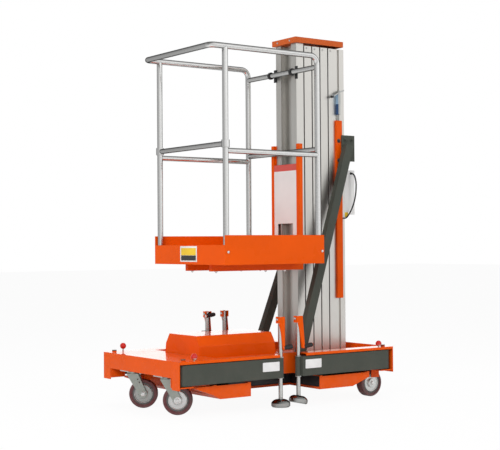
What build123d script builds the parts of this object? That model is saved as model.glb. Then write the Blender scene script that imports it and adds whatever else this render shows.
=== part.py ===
from build123d import *
import os
from math import atan2, cos, degrees, radians, sin, tan

os.makedirs("parts", exist_ok=True)

# Vertical mast lift: a wheeled base with four swing-out outriggers, a five-stage aluminium mast
# and a guarded one-person platform. Millimetres. The origin is on the floor below the middle of
# the base, +X runs along the base towards the mast, -Y is the near side, +Z is up.

# Base frame
BASE_LENGTH = 1390.0
BASE_WIDTH = 746.0
BASE_TOP = 279.0
PLATE = 5.0                     # steel plate of the base
FRONT_DECK = 270.0              # length of the flush deck at the front end
RECESS_DEPTH = 40.0             # floor behind it, below the top of the base
CORNER_BOTTOM = 140.0           # lower edge of the corner plates
CORNER_WIDTH = 68.0             # corner plates, measured in from the side
LIP_DEPTH = 14.0                # turned-down lip of the side flange
WEB_OFFSET = 73.0               # outer edge of the flange to the outer face of the web
WEB_HEIGHT = 107.0
SHELF_DROP = 77.0               # deck top to the top of the castor shelves
SHELF_DEPTH = 140.0
NOTCH_MARGIN = 28.0             # flange notch past the jack axes, cut in to the web

# Outriggers
BEAM_WIDTH = 65.0
BEAM_HEIGHT = 101.0
BEAM_WALL = 4.0
BEAM_EDGE_GAP = 2.0             # beam face behind the edge of the base
BEAM_LIP_GAP = 4.0              # beam top below the lip
BEAM_BLOCK = 45.0               # solid end blocks of the beam
PIVOT_INSET = 45.0              # pivot axis from the end of the base
PIVOT_PIN = 16.0
PIN_HEAD = 24.0
PIN_HEAD_HEIGHT = 10.0
PIN_CLEARANCE = 0.3
LUG_THICKNESS = 6.0
LUG_GAP = 5.0
LUG_LENGTH = 85.0
LUG_EDGE = 4.0                  # lug edge behind the edge of the base
KNOB_INSET = 95.0               # locking knob from the end of the base
KNOB_STEM = 8.0
KNOB_DIAMETER = 33.0
# Locking knobs: side along Y, stem in from the edge of the base, knob centre above the base
KNOB_SEATS = [(-1, 12.0, 20.0), (1, 40.0, 29.0)]

# Jacks and folded cranks
JACK_SPACING = 116.0            # between the jack axes of one side
JACK_MIDDLE = 2.0               # middle of the jacks from the middle of the base
JACK_SHORT = 6.0                # beam end before the jack axis
JACK_SLEEVE = 32.0              # tube round the screw at the beam's end
SCREW = 22.0
SCREW_TOP = 468.0
FOOT_DIAMETER = 98.0
FOOT_RIM = 21.0
FOOT_DOME = 18.0
FOOT_ROUND = 6.0                # lower edge of the rim
FOOT_SHOULDER = (37.0, 0.72)    # radius and share of the dome's height where it turns over
FOOT_NECK = 14.0                # radius at the top of the dome
FOOT_CLEARANCE = 8.0            # feet above the floor when parked
CRANK_DEPTH = 30.0
CRANK_SHEET = 3.0
CRANK_FLANGE = 14.0             # depth of the arm below its head
CRANK_HEAD = (-17.0, 20.0, 34.0)    # head round the screw: low and high side along X, height
CRANK_LENGTH = 166.0
CRANK_BOLT = 10.0
CRANK_BOLT_HEAD = 4.0
CRANK_BOLT_DROP = 11.0          # bolt below the top of the screw
GRIP_DIAMETER = 19.0
GRIP_LENGTH = 60.0
GRIP_LOW = (0.0, 0.0, 9.0)      # start past the arm's end, distance to the near side, height above that end
GRIP_HIGH = (-46.0, 15.0, 150.0)
COLLAR_DIAMETER = 66.0
COLLAR_HEIGHT = 6.0
COLLAR_DROP = 114.0             # collar below the top of the screw

# Belly boxes under the base
BELLY_BOTTOM = 80.0
BELLY_TOP = 148.0
BELLY_INSET = 20.0              # belly side from the edge of the base
BELLY_SHEET = 4.0
BELLY_LIP = 12.0                # height of the open inner ends
BELLY_FRONT = 212.0             # front wall from the front end, clear of the swivelling castors
BELLY_NOSE = 113.0              # tip of the side wings from the front end
FRONT_BEVEL = 255.0
FRONT_END = 440.0
REAR_START = 503.0              # the same for the rear box, from the rear end
REAR_BEVEL = 275.0
REAR_END = 157.0
FRONT_WALL = 45.0               # height of the end walls
REAR_WALL = 26.0
NOSE_HEIGHT = 10.0
WING_WIDTH = 38.0
SPINE_WIDTH = 190.0
BATTERY_LENGTH = 400.0
BATTERY_WIDTH = 176.0
BATTERY_REAR = 200.0            # length of the wide block in the rear belly
BATTERY_GAP = 3.0
RIB_WIDTH = 20.0
RIB_FOOT = 4.0                  # wide foot of each rib on the belly sides

# Castors
WHEEL_DIAMETER = 148.0
WHEEL_WIDTH = 46.0
TREAD = 13.0
TREAD_ROUND = 6.0
CORE_WIDTH = 34.0
HUB_DIAMETER = 46.0
HUB_LENGTH = 56.0
AXLE = 12.0
AXLE_END = 6.0                  # axle nut past the fork leg
AXLE_CLEARANCE = 0.05
SWIVEL_INSET = 58.0             # swivel axis from the front end
SWIVEL_OFFSET = 134.0           # swivel axis from the web
SWIVEL_TRAIL = 55.0
SWIVEL_ANGLE = -36.0            # how far the front castors stand turned
SWIVEL_GAP = 0.3
REAR_WHEEL_INSET = 65.0
REAR_WHEEL_OFFSET = 55.0
CASTOR_PLATE = 6.0
CASTOR_PLATE_LENGTH = 105.0
CASTOR_PLATE_WIDTH = 86.0
RACE_DIAMETER = 62.0
FORK_SHEET = 4.0
FORK_GAP = 3.0                  # hub to fork leg
FORK_CROWN = 28.0               # tread to crown
FORK_WIDTH = 58.0
FORK_END = 20.0                 # radius of the fork end round the axle
FORK_HOLE = 7.0
CHEEK = (-12.0, 44.0)           # outer cheek of the rear brackets, from the axle along X
CHEEK_BOTTOM = 105.0

# Power unit
COVER_FRONT = 250.0             # from the front end
COVER_LENGTH = 495.0
COVER_LEAN = 9.0                # top of the end faces in from their foot
COVER_HALF_WIDTHS = (161.0, 158.0, 128.0)   # at the floor, the shoulder and the top
COVER_GAP = 1.0                 # round the cover where it is let into the front deck
COVER_HEIGHT = 139.0
COVER_SHOULDER = 88.0
COVER_BEND = 22.0
COVER_SHEET = 3.0
UNIT_LENGTH = 380.0
UNIT_WIDTH = 220.0
UNIT_HEIGHT = 100.0

# Mast
MAST_INSET = 440.0              # front face of the mast from the rear end
STAGE_DEPTH = 50.0
FIXED_DEPTH = 63.0
COLUMN_DEPTH = 34.0             # rear column of the fixed stage
COLUMN_GROOVE = 14.0
GROOVE_SIDE = 8.0
STAGE_GAP = 7.0
MAST_WIDTH = 184.0
MAST_WALL = 4.0
STAGE_BOTTOM = 16.0             # moving stages above the floor
STAGE_TOP = 1940.0
CAP_GAP = 11.0
CAP_HEIGHT = 31.0
CAP_OVERHANG = 15.0
CAP_REAR_INSET = 14.0           # rear edge of the cap before the mast's rear face
CAP_SHEET = 4.0
SLOT_WIDTH = 116.0
SLOT_MOUTH = 92.0
SLOT_LIP = 6.0
SLOT_DEPTH = 32.0
SLOT_CLEARANCE = 4.0
TONGUE_WALL = 9.0
TONGUE_HEAD = 22.0
PAD_CLEARANCE = 0.3             # slide pads to the groove
PAD_HEIGHT = 120.0

# Platform
TRAY_GAP = 12.0                 # tray to mast
TRAY_LENGTH = 639.0
TRAY_WIDTH = 672.0
TRAY_BOTTOM = 742.0
TRAY_SHEET = 3.0
SIDE_BOARD = 150.0
FRONT_BOARD = 101.0
ARM_GAP = 8.0                   # mast side to arm
ARM_WIDTH = 25.0
ARM_HEIGHT = 36.0
ARM_INSET = 61.0                # front end of the arms behind the tray's front
UPRIGHT_DEPTH = 25.0
UPRIGHT_HEIGHT = 652.0
SPACER_HEIGHT = 100.0
NOTICE_SHEET = 3.0
NOTICE_TOP = 543.0              # above the tray's bottom
NOTICE_BOTTOM = 108.0
NOTICE_CUT = 216.0
NOTICE_CUT_WIDTH = 136.0
RAIL_TUBE = 30.0
RAIL_WALL = 2.5
MID_TUBE = 28.0
POST_INSET = 22.0
GUARD_HEIGHT = 1100.0           # top rail above the tray floor
RAIL_OVERHANG = 86.0
MID_RAIL_DROP = 527.0           # below the top rail
BACK_MID_DROP = 498.0
BACK_RAIL_DROP = 59.0
HOOP_BEND = 45.0
HOOP_CORNER = 28.0
SADDLE_GAP = 0.1
GATE_DROP = 492.0
GATE_SLEEVE = 42.0
GATE_SLEEVE_HEIGHT = 38.0
GATE_CLEARANCE = 0.3
CLAMP_DIAMETER = 40.0
CLAMP_WIDTH = 13.0
CLAMP_OFFSET = 4.0              # clamp middle past the mast side
CLAMP_PLATE = 5.0
CLAMP_WING_WIDTH = 20.0
CLAMP_WING_HEIGHT = 70.0

# Rear rails, braces, box, switch and cable
REAR_RAIL_WIDTH = 42.0
REAR_RAIL_THICKNESS = 12.0
REAR_RAIL_BOTTOM = 541.0
REAR_RAIL_TOP = 1537.0
REAR_RAIL_INSET = 24.0          # rear edge before the mast's rear face
BRACE_WIDTH = 50.0
BRACE_DEPTH = 36.0
BRACE_WALL = 4.0
BRACE_TOP_OUT = 2.0             # brace axis at its top behind the mast's rear face
BRACE_TOP_SIDE = 33.0           # and out from the mast's side
BRACE_TOP_HEIGHT = 1395.0
BRACE_FOOT_AHEAD = 73.0         # brace axis at the floor ahead of the mast's front face
BRACE_FOOT_SIDE = 100.0
BRACKET_LENGTH = 92.0
BRACKET_BELOW = 86.0            # bracket below and above the top of the brace's axis
BRACKET_ABOVE = 60.0
BRACKET_SHEET = 8.0
BRACKET_LAP = 8.0               # bracket over the rear rail
BOX_DEPTH = 76.0
BOX_WIDTH = 180.0
BOX_BOTTOM = 1010.0
BOX_TOP = 1260.0
SWITCH_WIDTH = 16.0
SWITCH_DEPTH = 22.0
SWITCH_NARROW = 13.0
SWITCH_BOTTOM = 1570.0
SWITCH_MIDDLE = 1629.0
SWITCH_TOP = 1685.0
SWITCH_X_INSET = 50.0           # switch axis before the mast's rear face
SWITCH_TUBE = 7.0
LEVER_PIVOT = 11.0              # lever's pivot above the switch
LEVER_BOSS = 16.0
LEVER_NECK = 10.0
LEVER_ARM = (50.0, 29.0)        # roller before and below the pivot
LEVER_TAIL = (32.0, 11.0)       # other end behind and above it
LEVER_WIDTH = 8.0
LEVER_THICKNESS = 4.0
ROLLER = 13.0
CABLE = 8.0

# Places worked out from the sizes above
half_length = BASE_LENGTH / 2
half_width = BASE_WIDTH / 2
web_face = half_width - WEB_OFFSET
web_back = web_face - PLATE
deck_bottom = BASE_TOP - PLATE
recess_top = BASE_TOP - RECESS_DEPTH
recess_bottom = recess_top - PLATE
lip_bottom = BASE_TOP - LIP_DEPTH
beam_y = half_width - BEAM_EDGE_GAP - BEAM_WIDTH / 2
beam_top = lip_bottom - BEAM_LIP_GAP
beam_bottom = beam_top - BEAM_HEIGHT
lug_top = beam_bottom - LUG_GAP
lug_bottom = lug_top - LUG_THICKNESS
pivot_x = half_length - PIVOT_INSET
shelf_top = BASE_TOP - SHELF_DROP
shelf_bottom = shelf_top - PLATE
wheel_radius = WHEEL_DIAMETER / 2
cover_front = -half_length + COVER_FRONT
cover_rear = cover_front + COVER_LENGTH
foot_side, shoulder_side, top_side = COVER_HALF_WIDTHS
mast_front = half_length - MAST_INSET
mast_side = MAST_WIDTH / 2
arm_inner = mast_side + ARM_GAP
arm_outer = arm_inner + ARM_WIDTH
tray_rear = mast_front - TRAY_GAP
tray_front = tray_rear - TRAY_LENGTH
tray_side = TRAY_WIDTH / 2
floor_top = TRAY_BOTTOM + TRAY_SHEET
rail_height = floor_top + GUARD_HEIGHT
post_front = tray_front + POST_INSET
post_rear = tray_rear - POST_INSET
post_y = tray_side - POST_INSET

# Signs of the sides and ends, and the four corners
SIDES = [("near", -1), ("far", 1)]                  # name, sign of Y
ENDS = [("front", -1), ("rear", 1)]                 # name, sign of X


def block(x, y, z, mode=Mode.ADD):
    """Adds or cuts a box between the low and the high value of each axis."""
    with Locations(((x[0] + x[1]) / 2, (y[0] + y[1]) / 2, (z[0] + z[1]) / 2)):
        Box(x[1] - x[0], y[1] - y[0], z[1] - z[0], mode=mode)


def post(diameter, x, y, z, mode=Mode.ADD):
    """Adds or cuts an upright round bar from z[0] to z[1]."""
    with Locations((x, y, (z[0] + z[1]) / 2)):
        Cylinder(diameter / 2, z[1] - z[0], mode=mode)


def bar_along_x(diameter, x, y, z, mode=Mode.ADD):
    """Adds or cuts a round bar along X from x[0] to x[1]."""
    with Locations(Location(((x[0] + x[1]) / 2, y, z), (0, 90, 0))):
        Cylinder(diameter / 2, x[1] - x[0], mode=mode)


def bar_along_y(diameter, x, y, z, mode=Mode.ADD):
    """Adds or cuts a round bar along Y from y[0] to y[1]."""
    with Locations(Location((x, (y[0] + y[1]) / 2, z), (90, 0, 0))):
        Cylinder(diameter / 2, y[1] - y[0], mode=mode)


def span(sign, low, high):
    """The range from low to high, measured out from the middle plane on the side of the sign."""
    return (low, high) if sign > 0 else (-high, -low)


def about(middle, width):
    """The range of the given width about its middle."""
    return (middle - width / 2, middle + width / 2)


def save(piece, label):
    """Labels a finished piece and writes its file."""
    piece.label = label
    export_step(piece, f"parts/{label}.step")


# Side channels: web, outward flange with a lip, corner plates and pivot lugs
notch = (JACK_MIDDLE - JACK_SPACING / 2 - NOTCH_MARGIN, JACK_MIDDLE + JACK_SPACING / 2 + NOTCH_MARGIN)
for side_name, side in SIDES:
    with BuildPart() as side_channel:
        block((-half_length, half_length), span(side, web_back, half_width), (deck_bottom, BASE_TOP))
        block((-half_length, half_length), span(side, half_width - PLATE, half_width), (lip_bottom, BASE_TOP))
        block((-half_length, half_length), span(side, web_back, web_face), (BASE_TOP - WEB_HEIGHT, BASE_TOP))
        for end_name, end in ENDS:
            block(span(end, half_length - PLATE, half_length), span(side, half_width - CORNER_WIDTH, half_width),
                  (CORNER_BOTTOM, BASE_TOP))
            block(span(end, half_length - PLATE, half_length), span(side, web_back, half_width),
                  (shelf_bottom, BASE_TOP))
            block(span(end, half_length - LUG_LENGTH, half_length), span(side, web_back, half_width - LUG_EDGE),
                  (lug_bottom, lug_top))
            block(span(end, half_length - LUG_LENGTH, half_length), span(side, web_back, web_face),
                  (lug_bottom, BASE_TOP))
            post(PIVOT_PIN, end * pivot_x, side * beam_y, (lug_bottom, BASE_TOP), Mode.SUBTRACT)
        block(notch, span(side, web_face, half_width), (lip_bottom, BASE_TOP), Mode.SUBTRACT)
    save(side_channel.part, f"side_channel_{side_name}")

# Flush front deck with a turned-down rear edge let in round the cover, and the sunk floor behind it
deck_end = -half_length + FRONT_DECK
with BuildPart() as deck:
    block((-half_length + PLATE, deck_end), (-web_back, web_back), (deck_bottom, BASE_TOP))
    block((deck_end - PLATE, deck_end), (-web_back, web_back), (recess_top, BASE_TOP))
    block((cover_front - COVER_GAP, deck_end), about(0.0, 2 * (foot_side + COVER_GAP)), (recess_top, BASE_TOP),
          Mode.SUBTRACT)
save(deck.part, "deck_plate")

with BuildPart() as floor_plate:
    block((deck_end - PLATE, half_length - PLATE), (-web_back, web_back), (recess_bottom, recess_top))
save(floor_plate.part, "floor_plate")

# End cross members: panel and the shelf that carries the castors
for end_name, end in ENDS:
    with BuildPart() as cross:
        block(span(end, half_length - PLATE, half_length), (-web_back, web_back), (shelf_bottom, BASE_TOP))
        block(span(end, half_length - SHELF_DEPTH, half_length - PLATE), (-web_back, web_back),
              (shelf_bottom, shelf_top))
    save(cross.part, f"cross_member_{end_name}")

# Pivot pins and locking knobs at the four corners
with BuildPart() as pins:
    for side_name, side in SIDES:
        for end_name, end in ENDS:
            post(PIVOT_PIN, end * pivot_x, side * beam_y, (lug_bottom, BASE_TOP))
            post(PIN_HEAD, end * pivot_x, side * beam_y, (BASE_TOP, BASE_TOP + PIN_HEAD_HEIGHT))
save(pins.part, "pivot_pins")

with BuildPart() as knobs:
    for side, edge_gap, knob_height in KNOB_SEATS:
        for end_name, end in ENDS:
            knob_x = end * (half_length - KNOB_INSET)
            knob_y = side * (half_width - edge_gap)
            post(KNOB_STEM, knob_x, knob_y, (BASE_TOP, BASE_TOP + knob_height))
            with Locations((knob_x, knob_y, BASE_TOP + knob_height)):
                Sphere(KNOB_DIAMETER / 2)
save(knobs.part, "locking_knobs")

# Belly boxes: open trays under the frame, joined by a narrow spine
belly_side = half_width - BELLY_INSET
front_wall = -half_length + BELLY_FRONT
front_end = -half_length + FRONT_END
rear_start = half_length - REAR_START
rear_wall = half_length - REAR_END
with BuildPart() as belly_front:
    with BuildSketch(Plane.XZ) as outline:
        with BuildLine():
            Polyline((front_wall, BELLY_TOP), (front_wall, BELLY_TOP - FRONT_WALL),
                     (-half_length + FRONT_BEVEL, BELLY_BOTTOM), (front_end, BELLY_BOTTOM),
                     (front_end, BELLY_TOP), close=True)
        make_face()
    extrude(amount=belly_side, both=True)
    block((front_wall + BELLY_SHEET, front_end - BELLY_SHEET),
          (-belly_side + BELLY_SHEET, belly_side - BELLY_SHEET),
          (BELLY_TOP - FRONT_WALL + BELLY_SHEET, BELLY_TOP), Mode.SUBTRACT)
    for side_name, side in SIDES:
        wing_face = max(span(side, belly_side - WING_WIDTH, belly_side))
        with BuildSketch(Plane.XZ.offset(-wing_face)):
            with BuildLine():
                Polyline((-half_length + BELLY_NOSE, BELLY_TOP),
                         (-half_length + BELLY_NOSE, BELLY_TOP - NOSE_HEIGHT),
                         (front_wall, BELLY_TOP - FRONT_WALL), (front_wall, BELLY_TOP), close=True)
            make_face()
        extrude(amount=WING_WIDTH)
    block((-half_length + FRONT_BEVEL, front_end - BELLY_SHEET),
          (-belly_side + BELLY_SHEET, belly_side - BELLY_SHEET), (BELLY_BOTTOM + BELLY_SHEET, BELLY_TOP),
          Mode.SUBTRACT)
    block((front_end - BELLY_SHEET, front_end), (-belly_side + BELLY_SHEET, belly_side - BELLY_SHEET),
          (BELLY_BOTTOM + BELLY_LIP, BELLY_TOP), Mode.SUBTRACT)
save(belly_front.part, "belly_front")

with BuildPart() as belly_rear:
    with BuildSketch(Plane.XZ) as outline:
        with BuildLine():
            Polyline((rear_start, BELLY_TOP), (rear_start, BELLY_BOTTOM),
                     (half_length - REAR_BEVEL, BELLY_BOTTOM), (rear_wall, BELLY_TOP - REAR_WALL),
                     (rear_wall, BELLY_TOP), close=True)
        make_face()
    extrude(amount=belly_side, both=True)
    block((rear_start + BELLY_SHEET, rear_wall - BELLY_SHEET),
          (-belly_side + BELLY_SHEET, belly_side - BELLY_SHEET),
          (BELLY_TOP - REAR_WALL + BELLY_SHEET, BELLY_TOP), Mode.SUBTRACT)
    block((rear_start + BELLY_SHEET, half_length - REAR_BEVEL),
          (-belly_side + BELLY_SHEET, belly_side - BELLY_SHEET), (BELLY_BOTTOM + BELLY_SHEET, BELLY_TOP),
          Mode.SUBTRACT)
    block((rear_start, rear_start + BELLY_SHEET), (-belly_side + BELLY_SHEET, belly_side - BELLY_SHEET),
          (BELLY_BOTTOM + BELLY_LIP, BELLY_TOP), Mode.SUBTRACT)
save(belly_rear.part, "belly_rear")

spine_side = SPINE_WIDTH / 2
with BuildPart() as spine:
    block((front_end, rear_start), (-spine_side, spine_side), (BELLY_BOTTOM, BELLY_BOTTOM + BELLY_LIP))
    block((front_end, rear_start), (-spine_side + BELLY_SHEET, spine_side - BELLY_SHEET),
          (BELLY_BOTTOM + BELLY_SHEET, BELLY_BOTTOM + BELLY_LIP), Mode.SUBTRACT)
save(spine.part, "belly_spine")

with BuildPart() as battery:
    block((rear_start - BATTERY_LENGTH, rear_start + BELLY_SHEET), about(0.0, BATTERY_WIDTH),
          (BELLY_BOTTOM + BELLY_LIP, BELLY_TOP))
    block((rear_start - BATTERY_LENGTH, rear_start), about(0.0, BATTERY_WIDTH),
          (BELLY_BOTTOM + BELLY_SHEET, BELLY_BOTTOM + BELLY_LIP))
    block((rear_start + BELLY_SHEET, rear_start + BATTERY_REAR),
          about(0.0, 2 * (belly_side - BELLY_SHEET - BATTERY_GAP)), (BELLY_BOTTOM + BELLY_SHEET, BELLY_TOP))
save(battery.part, "battery_block")

# Cross ribs that hang the belly boxes from the deck and the floor: middle, top
RIBS = [(front_wall + RIB_WIDTH / 2, deck_bottom), (front_end - RIB_WIDTH / 2, recess_bottom),
        (rear_start + RIB_WIDTH / 2, recess_bottom), (rear_wall - RIB_WIDTH / 2, recess_bottom)]
with BuildPart() as ribs:
    for rib_x, rib_top in RIBS:
        block(about(rib_x, RIB_WIDTH), (-web_back, web_back), (BELLY_TOP, rib_top))
        block(about(rib_x, RIB_WIDTH), (-belly_side, belly_side), (BELLY_TOP, BELLY_TOP + RIB_FOOT))
save(ribs.part, "deck_ribs")

# Power unit and its cover
with BuildPart() as cover:
    for shell, mode in [(0.0, Mode.ADD), (COVER_SHEET, Mode.SUBTRACT)]:
        low, middle, high = foot_side - shell, shoulder_side - shell, top_side - shell
        shoulder = recess_top + COVER_SHOULDER
        top = recess_top + COVER_HEIGHT - shell
        with BuildSketch(Plane.YZ.offset(cover_front + shell)) as profile:
            with BuildLine():
                Polyline((-low, recess_top), (-middle, shoulder), (-high, top), (high, top), (middle, shoulder),
                         (low, recess_top), close=True)
            make_face()
            bends = profile.vertices().sort_by(Axis.Y)[2:4]
            fillet(bends, COVER_BEND)
        hood = extrude(profile.sketch, amount=COVER_LENGTH - 2 * shell, mode=Mode.PRIVATE)
        with BuildSketch(Plane.XZ) as side_view:
            with BuildLine():
                Polyline((cover_front + shell, recess_top), (cover_front + shell + COVER_LEAN, top),
                         (cover_rear - shell - COVER_LEAN, top), (cover_rear - shell, recess_top), close=True)
            make_face()
        cutter = extrude(side_view.sketch, amount=foot_side, both=True, mode=Mode.PRIVATE)
        add(hood & cutter, mode=mode)
save(cover.part, "power_cover")

with BuildPart() as unit:
    block(about((cover_front + cover_rear) / 2, UNIT_LENGTH), about(0.0, UNIT_WIDTH),
          (recess_top, recess_top + UNIT_HEIGHT))
save(unit.part, "power_unit")

# Mast stages, front to rear; hooks behind each stage run in the groove of the next
STAGES = [(5, STAGE_DEPTH), (4, STAGE_DEPTH), (3, STAGE_DEPTH), (2, STAGE_DEPTH), (1, FIXED_DEPTH)]
slot_side = SLOT_WIDTH / 2
mouth_side = SLOT_MOUTH / 2
cap_bottom = STAGE_TOP + CAP_GAP
front = mast_front
for number, depth in STAGES:                        # stage number, depth along X
    rear = front + depth
    bottom = recess_top if number == 1 else recess_top + STAGE_BOTTOM
    top = cap_bottom if number == 5 else STAGE_TOP
    with BuildPart() as stage:
        block((front, rear), (-mast_side, mast_side), (bottom, top))
        block((front, front + SLOT_LIP), (-mouth_side, mouth_side), (bottom, top), Mode.SUBTRACT)
        block((front + SLOT_LIP, front + SLOT_DEPTH), (-slot_side, slot_side), (bottom, top), Mode.SUBTRACT)
        block((front + SLOT_DEPTH + MAST_WALL, rear - MAST_WALL), (-slot_side, slot_side), (bottom, top),
              Mode.SUBTRACT)
        for side_name, side in SIDES:
            block((front + MAST_WALL, rear - MAST_WALL),
                  span(side, slot_side + MAST_WALL, mast_side - MAST_WALL), (bottom, top), Mode.SUBTRACT)
            if number > 1:
                stem = mouth_side - SLOT_CLEARANCE
                hook_front = rear + STAGE_GAP + SLOT_LIP + SLOT_CLEARANCE
                block((rear, hook_front + MAST_WALL), span(side, stem - TONGUE_WALL, stem), (bottom, STAGE_TOP))
                block((hook_front, hook_front + MAST_WALL),
                      span(side, slot_side - SLOT_CLEARANCE - TONGUE_HEAD, slot_side - SLOT_CLEARANCE),
                      (bottom, STAGE_TOP))
                block((hook_front, hook_front + MAST_WALL),
                      span(side, slot_side - TONGUE_HEAD, slot_side - PAD_CLEARANCE),
                      (bottom, bottom + PAD_HEIGHT))
        if number == 1:
            column_rear = rear + COLUMN_GROOVE + COLUMN_DEPTH
            block((rear, rear + COLUMN_GROOVE), (-mast_side + GROOVE_SIDE, mast_side - GROOVE_SIDE),
                  (bottom, top))
            block((rear + COLUMN_GROOVE, column_rear), (-mast_side, mast_side), (bottom, top))
            block((rear + MAST_WALL, column_rear - MAST_WALL),
                  (-mast_side + GROOVE_SIDE + MAST_WALL, mast_side - GROOVE_SIDE - MAST_WALL),
                  (bottom, top), Mode.SUBTRACT)
            rear = column_rear
    save(stage.part, f"mast_stage_{number}")
    mast_rear = rear
    front = rear + STAGE_GAP

with BuildPart() as cap:
    cap_x = (mast_front - CAP_OVERHANG, mast_rear - CAP_REAR_INSET)
    cap_side = mast_side + CAP_OVERHANG
    block(cap_x, (-cap_side, cap_side), (cap_bottom, cap_bottom + CAP_HEIGHT))
    block((mast_front + STAGE_DEPTH, cap_x[1] - CAP_SHEET), (-cap_side + CAP_SHEET, cap_side - CAP_SHEET),
          (cap_bottom, cap_bottom + CAP_HEIGHT - CAP_SHEET), Mode.SUBTRACT)
save(cap.part, "mast_cap")

# Rear rails on both sides of the fixed stage
rail_rear = mast_rear - REAR_RAIL_INSET
rail_outer = mast_side + REAR_RAIL_THICKNESS
with BuildPart() as rear_rails:
    for side_name, side in SIDES:
        block((rail_rear - REAR_RAIL_WIDTH, rail_rear), span(side, mast_side, rail_outer),
              (REAR_RAIL_BOTTOM, REAR_RAIL_TOP))
save(rear_rails.part, "rear_rails")

# Braces from the floor to brackets behind the rear rails
bracket_bottom = BRACE_TOP_HEIGHT - BRACKET_BELOW
bracket_top = BRACE_TOP_HEIGHT + BRACKET_ABOVE
for side_name, side in SIDES:
    foot_point = Vector(mast_front - BRACE_FOOT_AHEAD, side * (mast_side + BRACE_FOOT_SIDE), recess_top)
    top_point = Vector(mast_rear + BRACE_TOP_OUT, side * (mast_side + BRACE_TOP_SIDE), BRACE_TOP_HEIGHT)
    brace_line = top_point - foot_point
    cut_back = brace_line.normalized() * BRACE_WIDTH
    with BuildPart() as brace:
        with BuildSketch(Plane(origin=foot_point - cut_back, x_dir=(1, 0, 0), z_dir=brace_line)) as tube:
            Rectangle(BRACE_WIDTH, BRACE_DEPTH)
        extrude(tube.sketch, amount=brace_line.length + BRACE_WIDTH)
        with BuildSketch(Plane(origin=foot_point - cut_back, x_dir=(1, 0, 0), z_dir=brace_line)) as bore:
            Rectangle(BRACE_WIDTH - 2 * BRACE_WALL, BRACE_DEPTH - 2 * BRACE_WALL)
        extrude(bore.sketch, amount=brace_line.length, mode=Mode.SUBTRACT)
        block(about(foot_point.X, 4 * BRACE_WIDTH), about(foot_point.Y, 4 * BRACE_WIDTH),
              (recess_top - 2 * BRACE_WIDTH, recess_top), Mode.SUBTRACT)
        bracket_x = (rail_rear - BRACKET_LAP, rail_rear - BRACKET_LAP + BRACKET_LENGTH)
        block(bracket_x, span(side, rail_outer, rail_outer + BRACKET_SHEET), (bracket_bottom, bracket_top))
        block(about(top_point.X, 4 * BRACE_WIDTH), span(side, 0.0, rail_outer),
              (bracket_bottom - 2 * BRACE_WIDTH, bracket_top + BRACE_WIDTH), Mode.SUBTRACT)
    save(brace.part, f"brace_{side_name}")

# Control box behind the mast
with BuildPart() as control_box:
    block((mast_rear, mast_rear + BOX_DEPTH), about(0.0, BOX_WIDTH), (BOX_BOTTOM, BOX_TOP))
save(control_box.part, "control_box")

# Limit switch on the near side of the fixed stage: two bodies, lever and roller
switch_x = mast_rear - SWITCH_X_INSET
switch_y = (-mast_side - SWITCH_DEPTH, -mast_side)
pivot_z = SWITCH_TOP + LEVER_PIVOT
roller_x = switch_x - LEVER_ARM[0]
roller_z = pivot_z - LEVER_ARM[1]
tail_x = switch_x + LEVER_TAIL[0]
tail_z = pivot_z + LEVER_TAIL[1]
lever_side = LEVER_WIDTH / 2
with BuildPart() as switch:
    block(about(switch_x, SWITCH_WIDTH), switch_y, (SWITCH_MIDDLE, SWITCH_TOP))
    block(about(switch_x, SWITCH_NARROW), switch_y, (SWITCH_BOTTOM, SWITCH_MIDDLE))
    block(about(switch_x, LEVER_NECK), switch_y, (SWITCH_TOP, pivot_z))
    bar_along_y(LEVER_BOSS, switch_x, switch_y, pivot_z)
    with BuildSketch(Plane.XZ.offset(-switch_y[0])) as lever:
        with BuildLine():
            Polyline((roller_x, roller_z - lever_side), (switch_x, pivot_z - lever_side),
                     (tail_x, tail_z - lever_side), (tail_x, tail_z + lever_side),
                     (switch_x, pivot_z + lever_side), (roller_x, roller_z + lever_side), close=True)
        make_face()
    extrude(lever.sketch, amount=LEVER_THICKNESS)
    bar_along_y(ROLLER, roller_x, (switch_y[0] - LEVER_THICKNESS, switch_y[0] + ROLLER), roller_z)
    post(SWITCH_TUBE, switch_x, -mast_side - SWITCH_TUBE, (REAR_RAIL_TOP, SWITCH_BOTTOM))
save(switch.part, "limit_switch")

# Held cable from the control box round to the near rear rail
route = [(mast_rear + 50.0, -BOX_WIDTH / 2, BOX_TOP - 18.0),
         (mast_rear + 50.0, -BOX_WIDTH / 2 - 16.0, BOX_TOP - 18.0),
         (mast_rear + 54.0, -BOX_WIDTH / 2 - 29.0, BOX_TOP - 32.0),
         (mast_rear + 62.0, -BOX_WIDTH / 2 - 32.0, BOX_TOP - 68.0),
         (mast_rear + 63.0, -BOX_WIDTH / 2 - 29.0, BOX_TOP - 124.0),
         (mast_rear + 54.0, -BOX_WIDTH / 2 - 24.0, BOX_TOP - 180.0),
         (mast_rear + 33.0, -BOX_WIDTH / 2 - 18.0, BOX_TOP - 233.0),
         (mast_rear + 6.0, -BOX_WIDTH / 2 - 9.0, BOX_TOP - 272.0),
         (rail_rear, -BOX_WIDTH / 2 - 9.0, BOX_TOP - 272.0)]


def bend_radii(points):
    """The radius for each corner of a route: as large as its two runs allow."""
    radii = []
    for before, corner, after in zip(points, points[1:], points[2:]):
        run_in = Vector(*corner) - Vector(*before)
        run_out = Vector(*after) - Vector(*corner)
        half_turn = radians(run_in.get_angle(run_out)) / 2
        radii.append(0.45 * min(run_in.length, run_out.length) / tan(half_turn))
    return radii


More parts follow.
